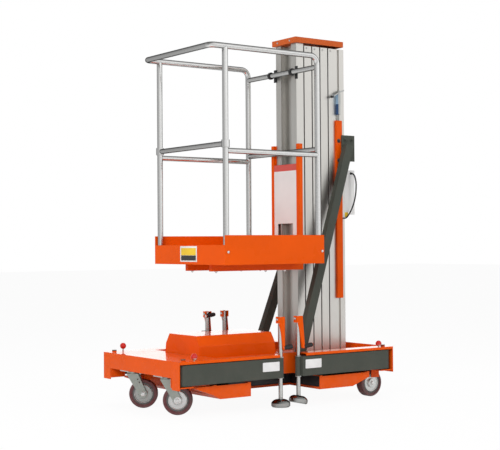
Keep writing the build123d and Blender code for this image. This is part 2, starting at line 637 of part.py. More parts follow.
radii = bend_radii(route)
print("cable radii", [round(radius) for radius in radii])
with BuildPart() as cable:
    with BuildLine() as cable_path:
        FilletPolyline(*route, radius=radii)
    with BuildSketch(Plane(origin=route[0], z_dir=(0, -1, 0))):
        Circle(CABLE / 2)
    sweep()
print("cable volume over section times length",
      cable.part.volume / (3.141593 * CABLE ** 2 / 4 * sum(edge.length for edge in cable_path.edges())))
save(cable.part, "box_cable")

# Platform arms under the tray and uprights beside the front stage
upright_x = (tray_rear, tray_rear + UPRIGHT_DEPTH)
with BuildPart() as arms:
    for side_name, side in SIDES:
        block((tray_front + ARM_INSET, upright_x[1]), span(side, arm_inner, arm_outer),
              (TRAY_BOTTOM - ARM_HEIGHT, TRAY_BOTTOM))
        block(upright_x, span(side, arm_inner, arm_outer), (TRAY_BOTTOM, TRAY_BOTTOM + UPRIGHT_HEIGHT))
        for spacer_bottom in (TRAY_BOTTOM, TRAY_BOTTOM + UPRIGHT_HEIGHT - SPACER_HEIGHT):
            block((mast_front, upright_x[1]), span(side, mast_side, arm_inner),
                  (spacer_bottom, spacer_bottom + SPACER_HEIGHT))
save(arms.part, "platform_arms")

# Notice plate between the uprights, with a cut between its legs
with BuildPart() as notice:
    block((tray_rear, tray_rear + NOTICE_SHEET), (-arm_inner, arm_inner),
          (TRAY_BOTTOM + NOTICE_BOTTOM, TRAY_BOTTOM + NOTICE_TOP))
    block((tray_rear, tray_rear + NOTICE_SHEET), about(0.0, NOTICE_CUT_WIDTH),
          (TRAY_BOTTOM + NOTICE_BOTTOM, TRAY_BOTTOM + NOTICE_CUT), Mode.SUBTRACT)
save(notice.part, "notice_plate")

# Tray: floor and toe boards
with BuildPart() as tray:
    block((tray_front, tray_rear), (-tray_side, tray_side), (TRAY_BOTTOM, TRAY_BOTTOM + SIDE_BOARD))
    block((tray_front + TRAY_SHEET, tray_rear - TRAY_SHEET), (-tray_side + TRAY_SHEET, tray_side - TRAY_SHEET),
          (floor_top, TRAY_BOTTOM + SIDE_BOARD), Mode.SUBTRACT)
    block((tray_front, tray_front + TRAY_SHEET), (-tray_side + TRAY_SHEET, tray_side - TRAY_SHEET),
          (TRAY_BOTTOM + FRONT_BOARD, TRAY_BOTTOM + SIDE_BOARD), Mode.SUBTRACT)
save(tray.part, "platform_tray")

# Guard hoop: one bent tube, up from the tray's rear corners and round the front
hoop_front = post_front - RAIL_OVERHANG
with BuildPart() as hoop:
    with BuildLine():
        FilletPolyline((post_rear, -post_y, floor_top), (post_rear, -post_y, rail_height),
                       (hoop_front, -post_y, rail_height), (hoop_front, post_y, rail_height),
                       (post_rear, post_y, rail_height), (post_rear, post_y, floor_top),
                       radius=[HOOP_BEND, HOOP_CORNER, HOOP_CORNER, HOOP_BEND])
    with BuildSketch(Plane.XY.offset(floor_top)):
        with Locations((post_rear, -post_y)):
            Circle(RAIL_TUBE / 2)
            Circle(RAIL_TUBE / 2 - RAIL_WALL, mode=Mode.SUBTRACT)
    sweep()
save(hoop.part, "guard_hoop")

with BuildPart() as posts:
    for side_name, side in SIDES:
        post(RAIL_TUBE, post_front, side * post_y, (floor_top, rail_height))
        post(RAIL_TUBE - 2 * RAIL_WALL, post_front, side * post_y, (floor_top, rail_height), Mode.SUBTRACT)
        bar_along_x(RAIL_TUBE + 2 * SADDLE_GAP, about(post_front, 2 * RAIL_TUBE), side * post_y, rail_height,
                    Mode.SUBTRACT)
save(posts.part, "front_posts")

mid_rail_z = rail_height - MID_RAIL_DROP
with BuildPart() as side_rails:
    for side_name, side in SIDES:
        bar_along_x(MID_TUBE, (post_front, post_rear), side * post_y, mid_rail_z)
        bar_along_x(MID_TUBE - 2 * RAIL_WALL, (post_front, post_rear), side * post_y, mid_rail_z, Mode.SUBTRACT)
        for post_x in (post_front, post_rear):
            post(RAIL_TUBE + 2 * SADDLE_GAP, post_x, side * post_y, about(mid_rail_z, 2 * MID_TUBE),
                 Mode.SUBTRACT)
save(side_rails.part, "side_rails")

with BuildPart() as back_rails:
    for drop in (BACK_MID_DROP, BACK_RAIL_DROP):
        bar_along_y(MID_TUBE, post_rear, (-post_y, post_y), rail_height - drop)
        bar_along_y(MID_TUBE - 2 * RAIL_WALL, post_rear, (-post_y, post_y), rail_height - drop, Mode.SUBTRACT)
        for side_name, side in SIDES:
            post(RAIL_TUBE + 2 * SADDLE_GAP, post_rear, side * post_y, about(rail_height - drop, 2 * MID_TUBE),
                 Mode.SUBTRACT)
save(back_rails.part, "back_rails")

# Winged clamps that steady the top back rail against the mast
clamp_z = rail_height - BACK_RAIL_DROP
with BuildPart() as clamps:
    for side_name, side in SIDES:
        clamp_y = side * (mast_side + CLAMP_OFFSET)
        wing_x = (mast_front - CLAMP_PLATE, mast_front)
        bar_along_y(CLAMP_DIAMETER, post_rear, about(clamp_y, CLAMP_WIDTH), clamp_z)
        block((post_rear, wing_x[1]), about(clamp_y, CLAMP_WIDTH), about(clamp_z, CLAMP_DIAMETER / 2))
        block(wing_x, about(clamp_y, CLAMP_WING_WIDTH), about(clamp_z, CLAMP_WING_HEIGHT))
        bar_along_y(MID_TUBE, post_rear, about(clamp_y, 2 * CLAMP_WIDTH), clamp_z, Mode.SUBTRACT)
save(clamps.part, "rail_clamps")

# Lift-up gate bar with sleeves on the front posts
gate_z = rail_height - GATE_DROP
with BuildPart() as gate:
    bar_along_y(MID_TUBE, post_front, (-post_y, post_y), gate_z)
    for side_name, side in SIDES:
        post(GATE_SLEEVE, post_front, side * post_y, about(gate_z, GATE_SLEEVE_HEIGHT))
    for side_name, side in SIDES:
        post(RAIL_TUBE + 2 * GATE_CLEARANCE, post_front, side * post_y, about(gate_z, GATE_SLEEVE_HEIGHT),
             Mode.SUBTRACT)
save(gate.part, "gate_bar")

# Outriggers and jacks: corner, signs of X and Y, lean of the crank's grip, collar round the screw,
# tilt of the foot on its ball, the sides of the arm at its lower end, and the grip: start along X, distance
# to the near side of the screw, height above the end of the arm
CORNERS = [("front_near", -1, -1, 5.0, False, 0.0, (7.0, 19.0), GRIP_LOW),
           ("front_far", -1, 1, 7.0, True, 0.0, (20.0, 33.0), GRIP_HIGH),
           ("rear_near", 1, -1, 8.0, False, 12.0, (21.0, 35.0), GRIP_LOW),
           ("rear_far", 1, 1, 8.0, False, 0.0, (22.0, 36.0), GRIP_LOW)]
crank_bottom = SCREW_TOP - CRANK_LENGTH
foot_top = FOOT_CLEARANCE + FOOT_RIM + FOOT_DOME
for corner, end, side, lean, collar, tilt, arm_end, grip in CORNERS:
    jack_x = JACK_MIDDLE + end * JACK_SPACING / 2
    tip_x = jack_x + end * JACK_SHORT
    beam_x = tuple(sorted((end * pivot_x, tip_x)))
    hollow_x = tuple(sorted((end * (pivot_x - BEAM_BLOCK), tip_x + end * BEAM_BLOCK)))
    jack_y = side * beam_y
    with BuildPart() as beam:
        block(beam_x, about(jack_y, BEAM_WIDTH), (beam_bottom, beam_top))
        post(BEAM_WIDTH, end * pivot_x, jack_y, (beam_bottom, beam_top))
        post(JACK_SLEEVE, jack_x, jack_y, (beam_bottom, beam_top))
        block(hollow_x, about(jack_y, BEAM_WIDTH - 2 * BEAM_WALL), (beam_bottom + BEAM_WALL, beam_top - BEAM_WALL),
              Mode.SUBTRACT)
        post(PIVOT_PIN + 2 * PIN_CLEARANCE, end * pivot_x, jack_y, (beam_bottom, beam_top), Mode.SUBTRACT)
        post(SCREW + 2 * PIN_CLEARANCE, jack_x, jack_y, (beam_bottom, beam_top), Mode.SUBTRACT)
    save(beam.part, f"outrigger_{corner}")

    # Foot: a rim under a broad dome, raised where it tilts so that its edge stays off the floor
    rim = FOOT_DIAMETER / 2
    rim_top = FOOT_CLEARANCE + FOOT_RIM
    shoulder_radius, shoulder_share = FOOT_SHOULDER
    with BuildPart() as foot:
        with BuildSketch(Plane.XZ) as half:
            with BuildLine():
                Polyline((0.0, foot_top), (0.0, FOOT_CLEARANCE), (rim - FOOT_ROUND, FOOT_CLEARANCE),
                         (rim, FOOT_CLEARANCE + FOOT_ROUND), (rim, rim_top))
                ThreePointArc((rim, rim_top), (shoulder_radius, rim_top + FOOT_DOME * shoulder_share),
                              (FOOT_NECK, foot_top))
                Line((FOOT_NECK, foot_top), (0.0, foot_top))
            make_face()
        revolve(half.sketch, axis=Axis.Z)
    raised = rim * sin(radians(tilt))
    set_foot = foot.part.rotate(Axis((0, 0, rim_top), (0, 1, 0)), tilt).moved(Location((jack_x, jack_y, raised)))
    with BuildPart() as jack:
        post(SCREW, jack_x, jack_y, (rim_top + raised, SCREW_TOP))
        add(set_foot)
    save(jack.part, f"jack_{corner}")

    # The arm is a tapered channel, open towards the middle plane, that folds down from its head
    head_low, head_high, head_height = CRANK_HEAD
    head_top = SCREW_TOP + CRANK_SHEET
    back = side * CRANK_DEPTH / 2
    bolt_z = SCREW_TOP - CRANK_BOLT_DROP
    with BuildPart() as crank:
        for sheet, mode in [(0.0, Mode.ADD), (CRANK_SHEET, Mode.SUBTRACT)]:
            with BuildSketch(Plane.XZ) as outline:
                with BuildLine():
                    Polyline((head_low + sheet, head_top - sheet), (head_high - sheet, head_top - sheet),
                             (arm_end[1] - sheet, crank_bottom + sheet), (arm_end[0] + sheet, crank_bottom + sheet),
                             close=True)
                make_face()
            arm = extrude(outline.sketch, amount=CRANK_DEPTH, both=True, mode=Mode.PRIVATE)
            near, far = back - side * sheet, back - side * (CRANK_FLANGE + sheet)
            layer = Box(4 * CRANK_DEPTH, abs(near - far), 4 * CRANK_LENGTH, mode=Mode.PRIVATE)
            add(arm & layer.moved(Location((0.0, (near + far) / 2, crank_bottom))), mode=mode)
        block((head_low, head_high), (-CRANK_DEPTH / 2, CRANK_DEPTH / 2), (head_top - head_height, head_top))
        block((head_low + CRANK_SHEET, head_high - CRANK_SHEET),
              tuple(sorted((back - side * CRANK_SHEET, -back - side * CRANK_SHEET))),
              (head_top - head_height - CRANK_SHEET, SCREW_TOP), Mode.SUBTRACT)
        for head_x in ((head_low - CRANK_BOLT_HEAD, head_low), (head_high, head_high + CRANK_BOLT_HEAD)):
            bar_along_x(CRANK_BOLT, head_x, 0.0, bolt_z)
        with BuildPart(mode=Mode.PRIVATE) as handle:
            grip_start = arm_end[1] - 2 * CRANK_SHEET + grip[0]
            bar_along_x(GRIP_DIAMETER, (grip_start, grip_start + GRIP_LENGTH), back - side * CRANK_FLANGE / 2
                        if grip[1] == 0.0 else -grip[1], crank_bottom + grip[2])
        pivot = Axis((arm_end[1], 0.0, crank_bottom + grip[2]), (0, 1, 0))
        add(handle.part.rotate(pivot, -lean))
    with BuildPart() as fitted:
        add(crank.part.moved(Location((jack_x, jack_y, 0.0))))
        if collar:
            post(COLLAR_DIAMETER, jack_x, jack_y, about(SCREW_TOP - COLLAR_DROP, COLLAR_HEIGHT))
        post(SCREW + 2 * SADDLE_GAP, jack_x, jack_y, (0.0, SCREW_TOP), Mode.SUBTRACT)
    save(fitted.part, f"crank_{corner}")

# Castors: crown, two legs that narrow down to the axle, and the axle itself
crown_bottom = WHEEL_DIAMETER + FORK_CROWN
race_top = shelf_bottom - CASTOR_PLATE
leg_inner = HUB_LENGTH / 2 + FORK_GAP
leg_outer = leg_inner + FORK_SHEET


def crown(x, y, top):
    """Adds the race and the crown of a castor, and returns the crown's range along X."""
    post(RACE_DIAMETER, x, y, (crown_bottom, top))
    crown_x = about(x, FORK_WIDTH)
    block(crown_x, about(y, 2 * leg_outer), (crown_bottom, crown_bottom + FORK_SHEET))
    return crown_x


def leg(leg_y, crown_x, axle_x):
    """Adds a fork leg from the crown down to the axle, FORK_SHEET thick from leg_y."""
    with BuildSketch(Plane.XZ.offset(-leg_y)) as outline:
        with Locations((axle_x, wheel_radius)):
            Circle(FORK_END)
        with Locations(((crown_x[0] + crown_x[1]) / 2, crown_bottom + FORK_SHEET / 2)):
            Rectangle(crown_x[1] - crown_x[0], FORK_SHEET)
        make_hull()
    extrude(outline.sketch, amount=FORK_SHEET)


swivel_x = -half_length + SWIVEL_INSET
swivel_y = web_face - SWIVEL_OFFSET
rear_wheel_x = half_length - REAR_WHEEL_INSET
rear_wheel_y = web_face - REAR_WHEEL_OFFSET
with BuildPart() as castor_plates:
    for side_name, side in SIDES:
        block(about(swivel_x, CASTOR_PLATE_LENGTH), about(side * swivel_y, CASTOR_PLATE_WIDTH),
              (race_top, shelf_bottom))
save(castor_plates.part, "castor_plates")

with BuildPart() as rear_forks:
    for side_name, side in SIDES:
        block(about(rear_wheel_x, CASTOR_PLATE_LENGTH), about(side * rear_wheel_y, CASTOR_PLATE_WIDTH),
              (race_top, shelf_bottom))
        crown_x = crown(rear_wheel_x, side * rear_wheel_y, race_top)
        inner_y = span(side, rear_wheel_y - leg_outer, rear_wheel_y - leg_inner)
        outer_y = span(side, rear_wheel_y + leg_inner, rear_wheel_y + leg_outer)
        leg(inner_y[1], crown_x, rear_wheel_x)
        block((rear_wheel_x + CHEEK[0], rear_wheel_x + CHEEK[1]), outer_y,
              (CHEEK_BOTTOM, crown_bottom + FORK_SHEET))
        bar_along_y(AXLE, rear_wheel_x, span(side, rear_wheel_y - leg_outer - AXLE_END,
                                             rear_wheel_y + HUB_LENGTH / 2 + AXLE_END), wheel_radius)
save(rear_forks.part, "rear_forks")

# Corner, swivel or wheel axis, trail behind it, angle that it stands turned
WHEELS = [("front_near", swivel_x, -swivel_y, SWIVEL_TRAIL, SWIVEL_ANGLE),
          ("front_far", swivel_x, swivel_y, SWIVEL_TRAIL, SWIVEL_ANGLE),
          ("rear_near", rear_wheel_x, -rear_wheel_y, 0.0, 0.0),
          ("rear_far", rear_wheel_x, rear_wheel_y, 0.0, 0.0)]
for corner, mount_x, mount_y, trail, angle in WHEELS:
    axle_x = mount_x + trail
    turn = Axis((mount_x, mount_y, 0.0), (0, 0, 1))
    if trail:
        with BuildPart() as swivel:
            crown_x = crown(mount_x, mount_y, race_top - SWIVEL_GAP)
            for leg_y in (mount_y + leg_outer, mount_y - leg_inner):
                leg(leg_y, crown_x, axle_x)
            for hole_share in (0.25, 0.4):
                bar_along_y(FORK_HOLE, mount_x + trail * hole_share + FORK_WIDTH / 4, about(mount_y, 3 * leg_outer),
                            crown_bottom - (crown_bottom - wheel_radius) * hole_share, Mode.SUBTRACT)
            bar_along_y(AXLE, axle_x, about(mount_y, 2 * (leg_outer + AXLE_END)), wheel_radius)
        save(swivel.part.rotate(turn, angle), f"fork_{corner}")
    with BuildPart() as tread:
        bar_along_y(WHEEL_DIAMETER, axle_x, about(mount_y, WHEEL_WIDTH), wheel_radius)
        fillet(tread.edges().filter_by(GeomType.CIRCLE), TREAD_ROUND)
        bar_along_y(WHEEL_DIAMETER - 2 * TREAD, axle_x, about(mount_y, WHEEL_WIDTH), wheel_radius, Mode.SUBTRACT)
    save(tread.part.rotate(turn, angle), f"tread_{corner}")
    with BuildPart() as core:
        bar_along_y(WHEEL_DIAMETER - 2 * TREAD, axle_x, about(mount_y, CORE_WIDTH), wheel_radius)
        bar_along_y(HUB_DIAMETER, axle_x, about(mount_y, HUB_LENGTH), wheel_radius)
        bar_along_y(AXLE + 2 * AXLE_CLEARANCE, axle_x, about(mount_y, HUB_LENGTH), wheel_radius, Mode.SUBTRACT)
    save(core.part.rotate(turn, angle), f"core_{corner}")
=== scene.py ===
"""Dresses the vertical mast lift: paints its frame, adds its fittings, and sets the studio round it."""

import math

import bmesh
import bpy
from mathutils import Matrix, Vector


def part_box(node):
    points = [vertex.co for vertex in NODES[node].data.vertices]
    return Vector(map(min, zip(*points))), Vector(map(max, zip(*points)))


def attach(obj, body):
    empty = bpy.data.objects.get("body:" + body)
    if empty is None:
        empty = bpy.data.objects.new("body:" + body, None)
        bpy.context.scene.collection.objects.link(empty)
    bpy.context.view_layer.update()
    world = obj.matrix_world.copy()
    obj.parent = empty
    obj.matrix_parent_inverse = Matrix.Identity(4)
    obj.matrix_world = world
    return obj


bl_info = {
    "name": "Vertical Mast Lift",
    "version": (1, 0, 0),
    "blender": (4, 5, 0),
    "location": "View3D > Sidebar > Mast Lift",
    "description": "Paints the mast lift's frame and adds its bolts, plates, wheel trim, grips and studio",
    "category": "Object",
}

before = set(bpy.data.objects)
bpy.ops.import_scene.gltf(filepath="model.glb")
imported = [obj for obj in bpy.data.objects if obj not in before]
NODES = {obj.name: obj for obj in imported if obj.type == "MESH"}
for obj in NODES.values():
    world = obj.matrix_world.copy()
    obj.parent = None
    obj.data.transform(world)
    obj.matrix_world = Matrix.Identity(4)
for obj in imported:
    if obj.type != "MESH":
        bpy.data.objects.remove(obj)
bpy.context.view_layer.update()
TAU = 2 * math.pi

# Each corner of the base, with its end along X and its side along Y
CORNERS = [("front_near", -1, -1), ("front_far", -1, 1), ("rear_near", 1, -1), ("rear_far", 1, 1)]
SIDES = (-1, 1)

# Places on the frame that the fittings follow, in metres
JACK_MIDDLE_X = 0.002
JACK_REACH = 0.058
JACK_ACROSS = 0.3385
BEAM_FACE = 0.371
FORK_TURN = math.radians(-36)

# Finish values of the paints, the dust and the rounded edges
DUST_COLOUR = (0.30, 0.27, 0.24, 1)
WORN_ORANGE = (0.42, 0.10, 0.03, 1)
WORN_CAP = (0.36, 0.16, 0.08, 1)
PAINT_SPECULAR = 0.06
COAT_ROUGHNESS = 0.05
ORANGE_PEEL = 0.25
EDGE_RADIUS = 0.0016
EDGE_SAMPLES = 4


# Sizes and colours


def colour(name, description, default):
    return bpy.props.FloatVectorProperty(
        name=name, description=description, default=default, size=4, min=0.0, max=1.0, subtype="COLOR"
    )


def length(name, description, default):
    return bpy.props.FloatProperty(
        name=name, description=description, default=default, min=0.0, unit="LENGTH", subtype="DISTANCE"
    )


class LiftColours(bpy.types.PropertyGroup):
    orange: colour("Orange", "Gloss paint of the base, tray, arms and cap", (0.760, 0.088, 0.001, 1))
    grey: colour("Grey", "Satin paint of the outriggers and braces", (0.066, 0.072, 0.060, 1))
    aluminium: colour("Aluminium", "Anodised mast sections", (0.67, 0.655, 0.62, 1))
    chrome: colour("Chrome", "Polished guard rails", (0.72, 0.72, 0.71, 1))
    zinc: colour("Zinc", "Plated forks, screws and bolts", (0.62, 0.63, 0.61, 1))
    white: colour("White", "Plates and the control box", (0.80, 0.80, 0.79, 1))
    tread: colour("Tread", "Wine-red wheel treads", (0.105, 0.022, 0.026, 1))
    black: colour("Black", "Grips, clamps and cable", (0.014, 0.014, 0.015, 1))
    red: colour("Red", "Locking knobs", (0.55, 0.022, 0.016, 1))
    yellow: colour("Yellow", "Plates on the tray and below the control box", (0.85, 0.56, 0.02, 1))
    blue: colour("Blue", "Limit switch", (0.035, 0.13, 0.36, 1))
    light_blue: colour("Light blue", "Upper part of the limit switch", (0.30, 0.46, 0.62, 1))
    lever: colour("Lever", "Steel of the limit switch", (0.45, 0.46, 0.45, 1))
    band: colour("Band", "Band across the top of the notice plate", (0.58, 0.095, 0.080, 1))
    panel: colour("Panel", "Dark panel on the tray's plate", (0.02, 0.02, 0.02, 1))
    cap: colour("Cap", "Duller paint of the mast's cap", (0.53, 0.105, 0.026, 1))
    unit: colour("Power unit", "The block under the cover", (0.03, 0.03, 0.032, 1))
    pin: colour("Pin head", "Heads of the pivot pins", (0.10, 0.07, 0.05, 1))
    fork: colour("Fork", "Duller plating of the castor forks", (0.41, 0.44, 0.40, 1))
    # The wheel centres are lit and shaded copies of one finish: the near ones lighter as painted light, the
    # far ones darker as painted shade
    hub: colour("Hub", "Wheel centres of the far side", (0.42, 0.44, 0.42, 1))
    near_hub_painted_light: colour("Near hub with painted light", "Wheel centres of the near side", (0.66, 0.67, 0.66, 1))
    core: colour("Core", "Plastic bands of the wheels", (0.075, 0.078, 0.076, 1))
    steel: colour("Bright steel", "Rings, nuts and end caps", (0.70, 0.70, 0.69, 1))
    dark_steel: colour("Dark steel", "Bolts of the rear rails", (0.10, 0.10, 0.10, 1))


class LiftSizes(bpy.types.PropertyGroup):
    bolt: length("Bolt head", "Width across the flats of the larger bolt heads", 0.016)
    small_bolt: length("Small bolt head", "Width across the flats of the smaller bolt heads", 0.010)
    plate: length("Plate thickness", "Thickness of the blank plates", 0.0012)
    grip: length("Grip wall", "Thickness of the rubber sleeve on a crank grip", 0.0015)


# Shader groups and materials


def new_group(name, inputs, outputs):
    """An empty shader group with sockets given as (kind, name, default)."""
    group = bpy.data.node_groups.new(name, "ShaderNodeTree")
    for kind, socket, default in inputs:
        made = group.interface.new_socket(name=socket, in_out="INPUT", socket_type="NodeSocket" + kind)
        made.default_value = default
    for kind, socket in outputs:
        group.interface.new_socket(name=socket, in_out="OUTPUT", socket_type="NodeSocket" + kind)
    start = group.nodes.new("NodeGroupInput")
    end = group.nodes.new("NodeGroupOutput")
    return group, start, end


def close_group(group, end, *sockets):
    """Joins the sockets to the group's outputs in their order."""
    for place, socket in enumerate(sockets):
        group.links.new(socket, end.inputs[place])
    return group


def feed(tree, made, inputs):
    """Sets a node's inputs by name or place: values, or sockets to join."""
    for key, value in inputs.items():
        if isinstance(value, bpy.types.NodeSocket):
            tree.links.new(value, made.inputs[key])
        else:
            made.inputs[key].default_value = value
    return made


def add(tree, kind, inputs=None, **settings):
    """A node with its settings and its inputs."""
    made = tree.nodes.new("ShaderNode" + kind)
    for key, value in settings.items():
        setattr(made, key, value)
    return feed(tree, made, inputs or {})


def maths(tree, operation, a, b=0.0, clamp=False):
    return add(tree, "Math", {0: a, 1: b}, operation=operation, use_clamp=clamp).outputs[0]


def mix_colours(tree, factor, a, b):
    return add(tree, "Mix", {0: factor, 6: a, 7: b}, data_type="RGBA").outputs[2]


def ranged(tree, value, low, high, to_low=0.0, to_high=1.0):
    return add(tree, "MapRange", {0: value, 1: low, 2: high, 3: to_low, 4: to_high}).outputs[0]


def split(tree, vector):
    """The X, Y and Z of a vector."""
    return add(tree, "SeparateXYZ", {0: vector}).outputs


def facing_up(tree, low, high):
    """Rises from nothing to one as the Z of a face's normal goes from low to high."""
    faces = add(tree, "NewGeometry")
    return ranged(tree, split(tree, faces.outputs["Normal"])[2], low, high)


def mottle_group():
    """Soft blotches and fine speckle for roughness and colour, and a fine height."""
    group, start, end = new_group(
        "Mottle",
        [("Vector", "Vector", (0, 0, 0)), ("Float", "Scale", 8.0), ("Float", "Low", 0.3),
         ("Float", "High", 0.5)],
        [("Float", "Value"), ("Float", "Mask"), ("Float", "Height")],
    )
    place, scale, low, high = start.outputs[:4]
    broad = add(group, "TexNoise", {"Vector": place, "Scale": scale, "Detail": 5.0})
    fine_scale = maths(group, "MULTIPLY", scale, 40.0)
    fine = add(group, "TexNoise", {"Vector": place, "Scale": fine_scale, "Detail": 2.0})
    mask = ranged(group, broad.outputs[0], 0.35, 0.65)
    value = ranged(group, mask, 0.0, 1.0, low, high)
    return close_group(group, end, value, mask, fine.outputs[0])


def streak_group():
    """Long fine streaks: the vector's scale says which way they run."""
    group, start, end = new_group(
        "Streaks",
        [("Vector", "Vector", (0, 0, 0)), ("Vector", "Stretch", (400, 400, 4)), ("Float", "Low", 0.25),
         ("Float", "High", 0.45)],
        [("Float", "Value"), ("Float", "Mask"), ("Float", "Height")],
    )
    place, stretch, low, high = start.outputs[:4]
    stretched = add(group, "VectorMath", {0: place, 1: stretch}, operation="MULTIPLY")
    noise = add(group, "TexNoise", {"Vector": stretched.outputs[0], "Scale": 1.0, "Detail": 4.0})
    mask = ranged(group, noise.outputs[0], 0.3, 0.7)
    value = ranged(group, mask, 0.0, 1.0, low, high)
    return close_group(group, end, value, mask, noise.outputs[0])


def dust_group():
    """Dust that lies on upward faces and low down on the object."""
    group, start, end = new_group(
        "Dust",
        [("Vector", "Vector", (0, 0, 0)), ("Float", "Upward", 0.2), ("Float", "Low down", 0.2)],
        [("Float", "Mask")],
    )
    place, upward_share, low_share = start.outputs[:3]
    upward = maths(group, "MULTIPLY", facing_up(group, 0.5, 1.0), upward_share)
    low = maths(group, "MULTIPLY", ranged(group, split(group, place)[2], 0.30, 0.02), low_share)
    noise = add(group, "TexNoise", {"Vector": place, "Scale": 14.0, "Detail": 8.0, "Roughness": 0.65})
    broken = ranged(group, noise.outputs[0], 0.35, 0.7)
    both = maths(group, "ADD", upward, low, clamp=True)
    return close_group(group, end, maths(group, "MULTIPLY", both, broken, clamp=True))


def wear_group():
    """Rubbed edges, from how far the rounded normal leans off the flat one."""
    group, start, end = new_group(
        "Edge wear",
        [("Vector", "Vector", (0, 0, 0)), ("Float", "Width", 0.002), ("Float", "Amount", 0.5)],
        [("Float", "Mask")],
    )
    place, width, amount = start.outputs[:3]
    rounded = add(group, "Bevel", {0: width}, samples=EDGE_SAMPLES)
    flat = add(group, "NewGeometry").outputs["Normal"]
    lean = add(group, "VectorMath", {0: rounded.outputs[0], 1: flat}, operation="DOT_PRODUCT")
    edge = ranged(group, lean.outputs[1], 0.995, 0.90)
    noise = add(group, "TexNoise", {"Vector": place, "Scale": 30.0, "Detail": 6.0, "Roughness": 0.7})
    broken = ranged(group, noise.outputs[0], 0.48, 0.62)
    return close_group(group, end, maths(group, "MULTIPLY", maths(group, "MULTIPLY", edge, broken), amount,
                                         clamp=True))


GROUPS = {}
MATERIALS = {}


def placed(tree, name, inputs):
    """A shared shader group at work in a material."""
    made = tree.nodes.new("ShaderNodeGroup")
    made.node_tree = GROUPS[name]
    return feed(tree, made, inputs)


def node_of(tree, kind):
    return next(n for n in tree.nodes if n.type == kind)


def new_material(name):
    """A material with its Principled shader, and its object coordinates."""
    made = bpy.data.materials.new(name)
    made.use_nodes = True
    tree = made.node_tree
    coordinates = add(tree, "TexCoord").outputs["Object"]
    MATERIALS[name] = made
    return tree, node_of(tree, "BSDF_PRINCIPLED"), coordinates


def source_of(shader, name):
    """The socket that is joined to one of the shader's inputs."""
    return shader.inputs[name].links[0].from_socket


def repaint(tree, shader, mask, rgba):
    """Another colour where the mask is one."""
    mixed = mix_colours(tree, mask, source_of(shader, "Base Color"), tuple(rgba))
    tree.links.new(mixed, shader.inputs["Base Color"])


def soft_normal(tree, shader, height, strength, distance, radius=EDGE_RADIUS):
    """Rounded edges for the light, with a fine height over them."""
    edge = add(tree, "Bevel", {0: radius}, samples=EDGE_SAMPLES)
    bump = add(tree, "Bump", {"Strength": strength, "Distance": distance, "Height": height,
                              "Normal": edge.outputs[0]})
    tree.links.new(bump.outputs[0], shader.inputs["Normal"])


def darker(rgba, share):
    return (rgba[0] * share, rgba[1] * share, rgba[2] * share, 1)


def upward_mask(tree):
    """One on faces that look up, and nothing on the others."""
    return facing_up(tree, 0.80, 0.98)


def paint(name, rgba, roughness, coat, wear=0.0, worn=(0.3, 0.3, 0.3, 1), upward=0.0, low=0.0, polished=0.0):
    """Painted metal: mottled gloss, orange peel, rubbed edges, dust, and a polish on the upward faces."""
    tree, shader, place = new_material(name)
    mottle = placed(tree, "Mottle", {0: place, 1: 5.0, 2: roughness * 0.8, 3: roughness * 1.25})
    tone = mix_colours(tree, mottle.outputs[1], darker(rgba, 0.92), tuple(rgba))
    edge = placed(tree, "Edge wear", {0: place, 1: 0.002, 2: wear})
    rubbed = mix_colours(tree, edge.outputs[0], tone, worn)
    dust = placed(tree, "Dust", {0: place, 1: upward, 2: low})
    dusty = mix_colours(tree, dust.outputs[0], rubbed, DUST_COLOUR)
    tree.links.new(dusty, shader.inputs["Base Color"])
    rough = maths(tree, "ADD", mottle.outputs[0], maths(tree, "MULTIPLY", dust.outputs[0], 0.4), clamp=True)
    tree.links.new(rough, shader.inputs["Roughness"])
    shader.inputs["Specular IOR Level"].default_value = PAINT_SPECULAR
    if polished:
        weight = ranged(tree, upward_mask(tree), 0.0, 1.0, coat, polished)
        tree.links.new(weight, shader.inputs["Coat Weight"])
    else:
        shader.inputs["Coat Weight"].default_value = coat
    shader.inputs["Coat Roughness"].default_value = COAT_ROUGHNESS
    soft_normal(tree, shader, mottle.outputs[2], ORANGE_PEEL, 0.0004)
    return tree, shader, place


def metal(name, rgba, low, high, stretch, strength, metallic, stain, painted_dark_rim=0.0):
    """Bare or plated metal with fine streaks along one axis, and a painted dark reflection: a darker rim
    where it turns away.
    """
    tree, shader, place = new_material(name)
    streaks = placed(tree, "Streaks", {0: place, 1: stretch, 2: low, 3: high})
    mottle = placed(tree, "Mottle", {0: place, 1: 6.0, 2: 0.0, 3: 1.0})
    tone = mix_colours(tree, streaks.outputs[1], darker(rgba, 0.90), tuple(rgba))
    blotches = maths(tree, "MULTIPLY", mottle.outputs[1], stain)
    stained = mix_colours(tree, blotches, tone, darker(rgba, 0.45))
    # Painted dark reflection: the colour darkens where the surface turns away from the view
    if painted_dark_rim:
        turning = add(tree, "LayerWeight", {0: 0.5}).outputs["Facing"]
        painted_dark_rim_mask = maths(tree, "MULTIPLY", ranged(tree, turning, 0.35, 0.80), painted_dark_rim)
        stained = mix_colours(tree, painted_dark_rim_mask, stained, darker(rgba, 0.08))
        shader.inputs["Specular Tint"].default_value = (0.25, 0.25, 0.25, 1)
    tree.links.new(stained, shader.inputs["Base Color"])
    tree.links.new(streaks.outputs[0], shader.inputs["Roughness"])
    shader.inputs["Metallic"].default_value = metallic
    soft_normal(tree, shader, streaks.outputs[2], strength, 0.0003)
    return tree, shader, place


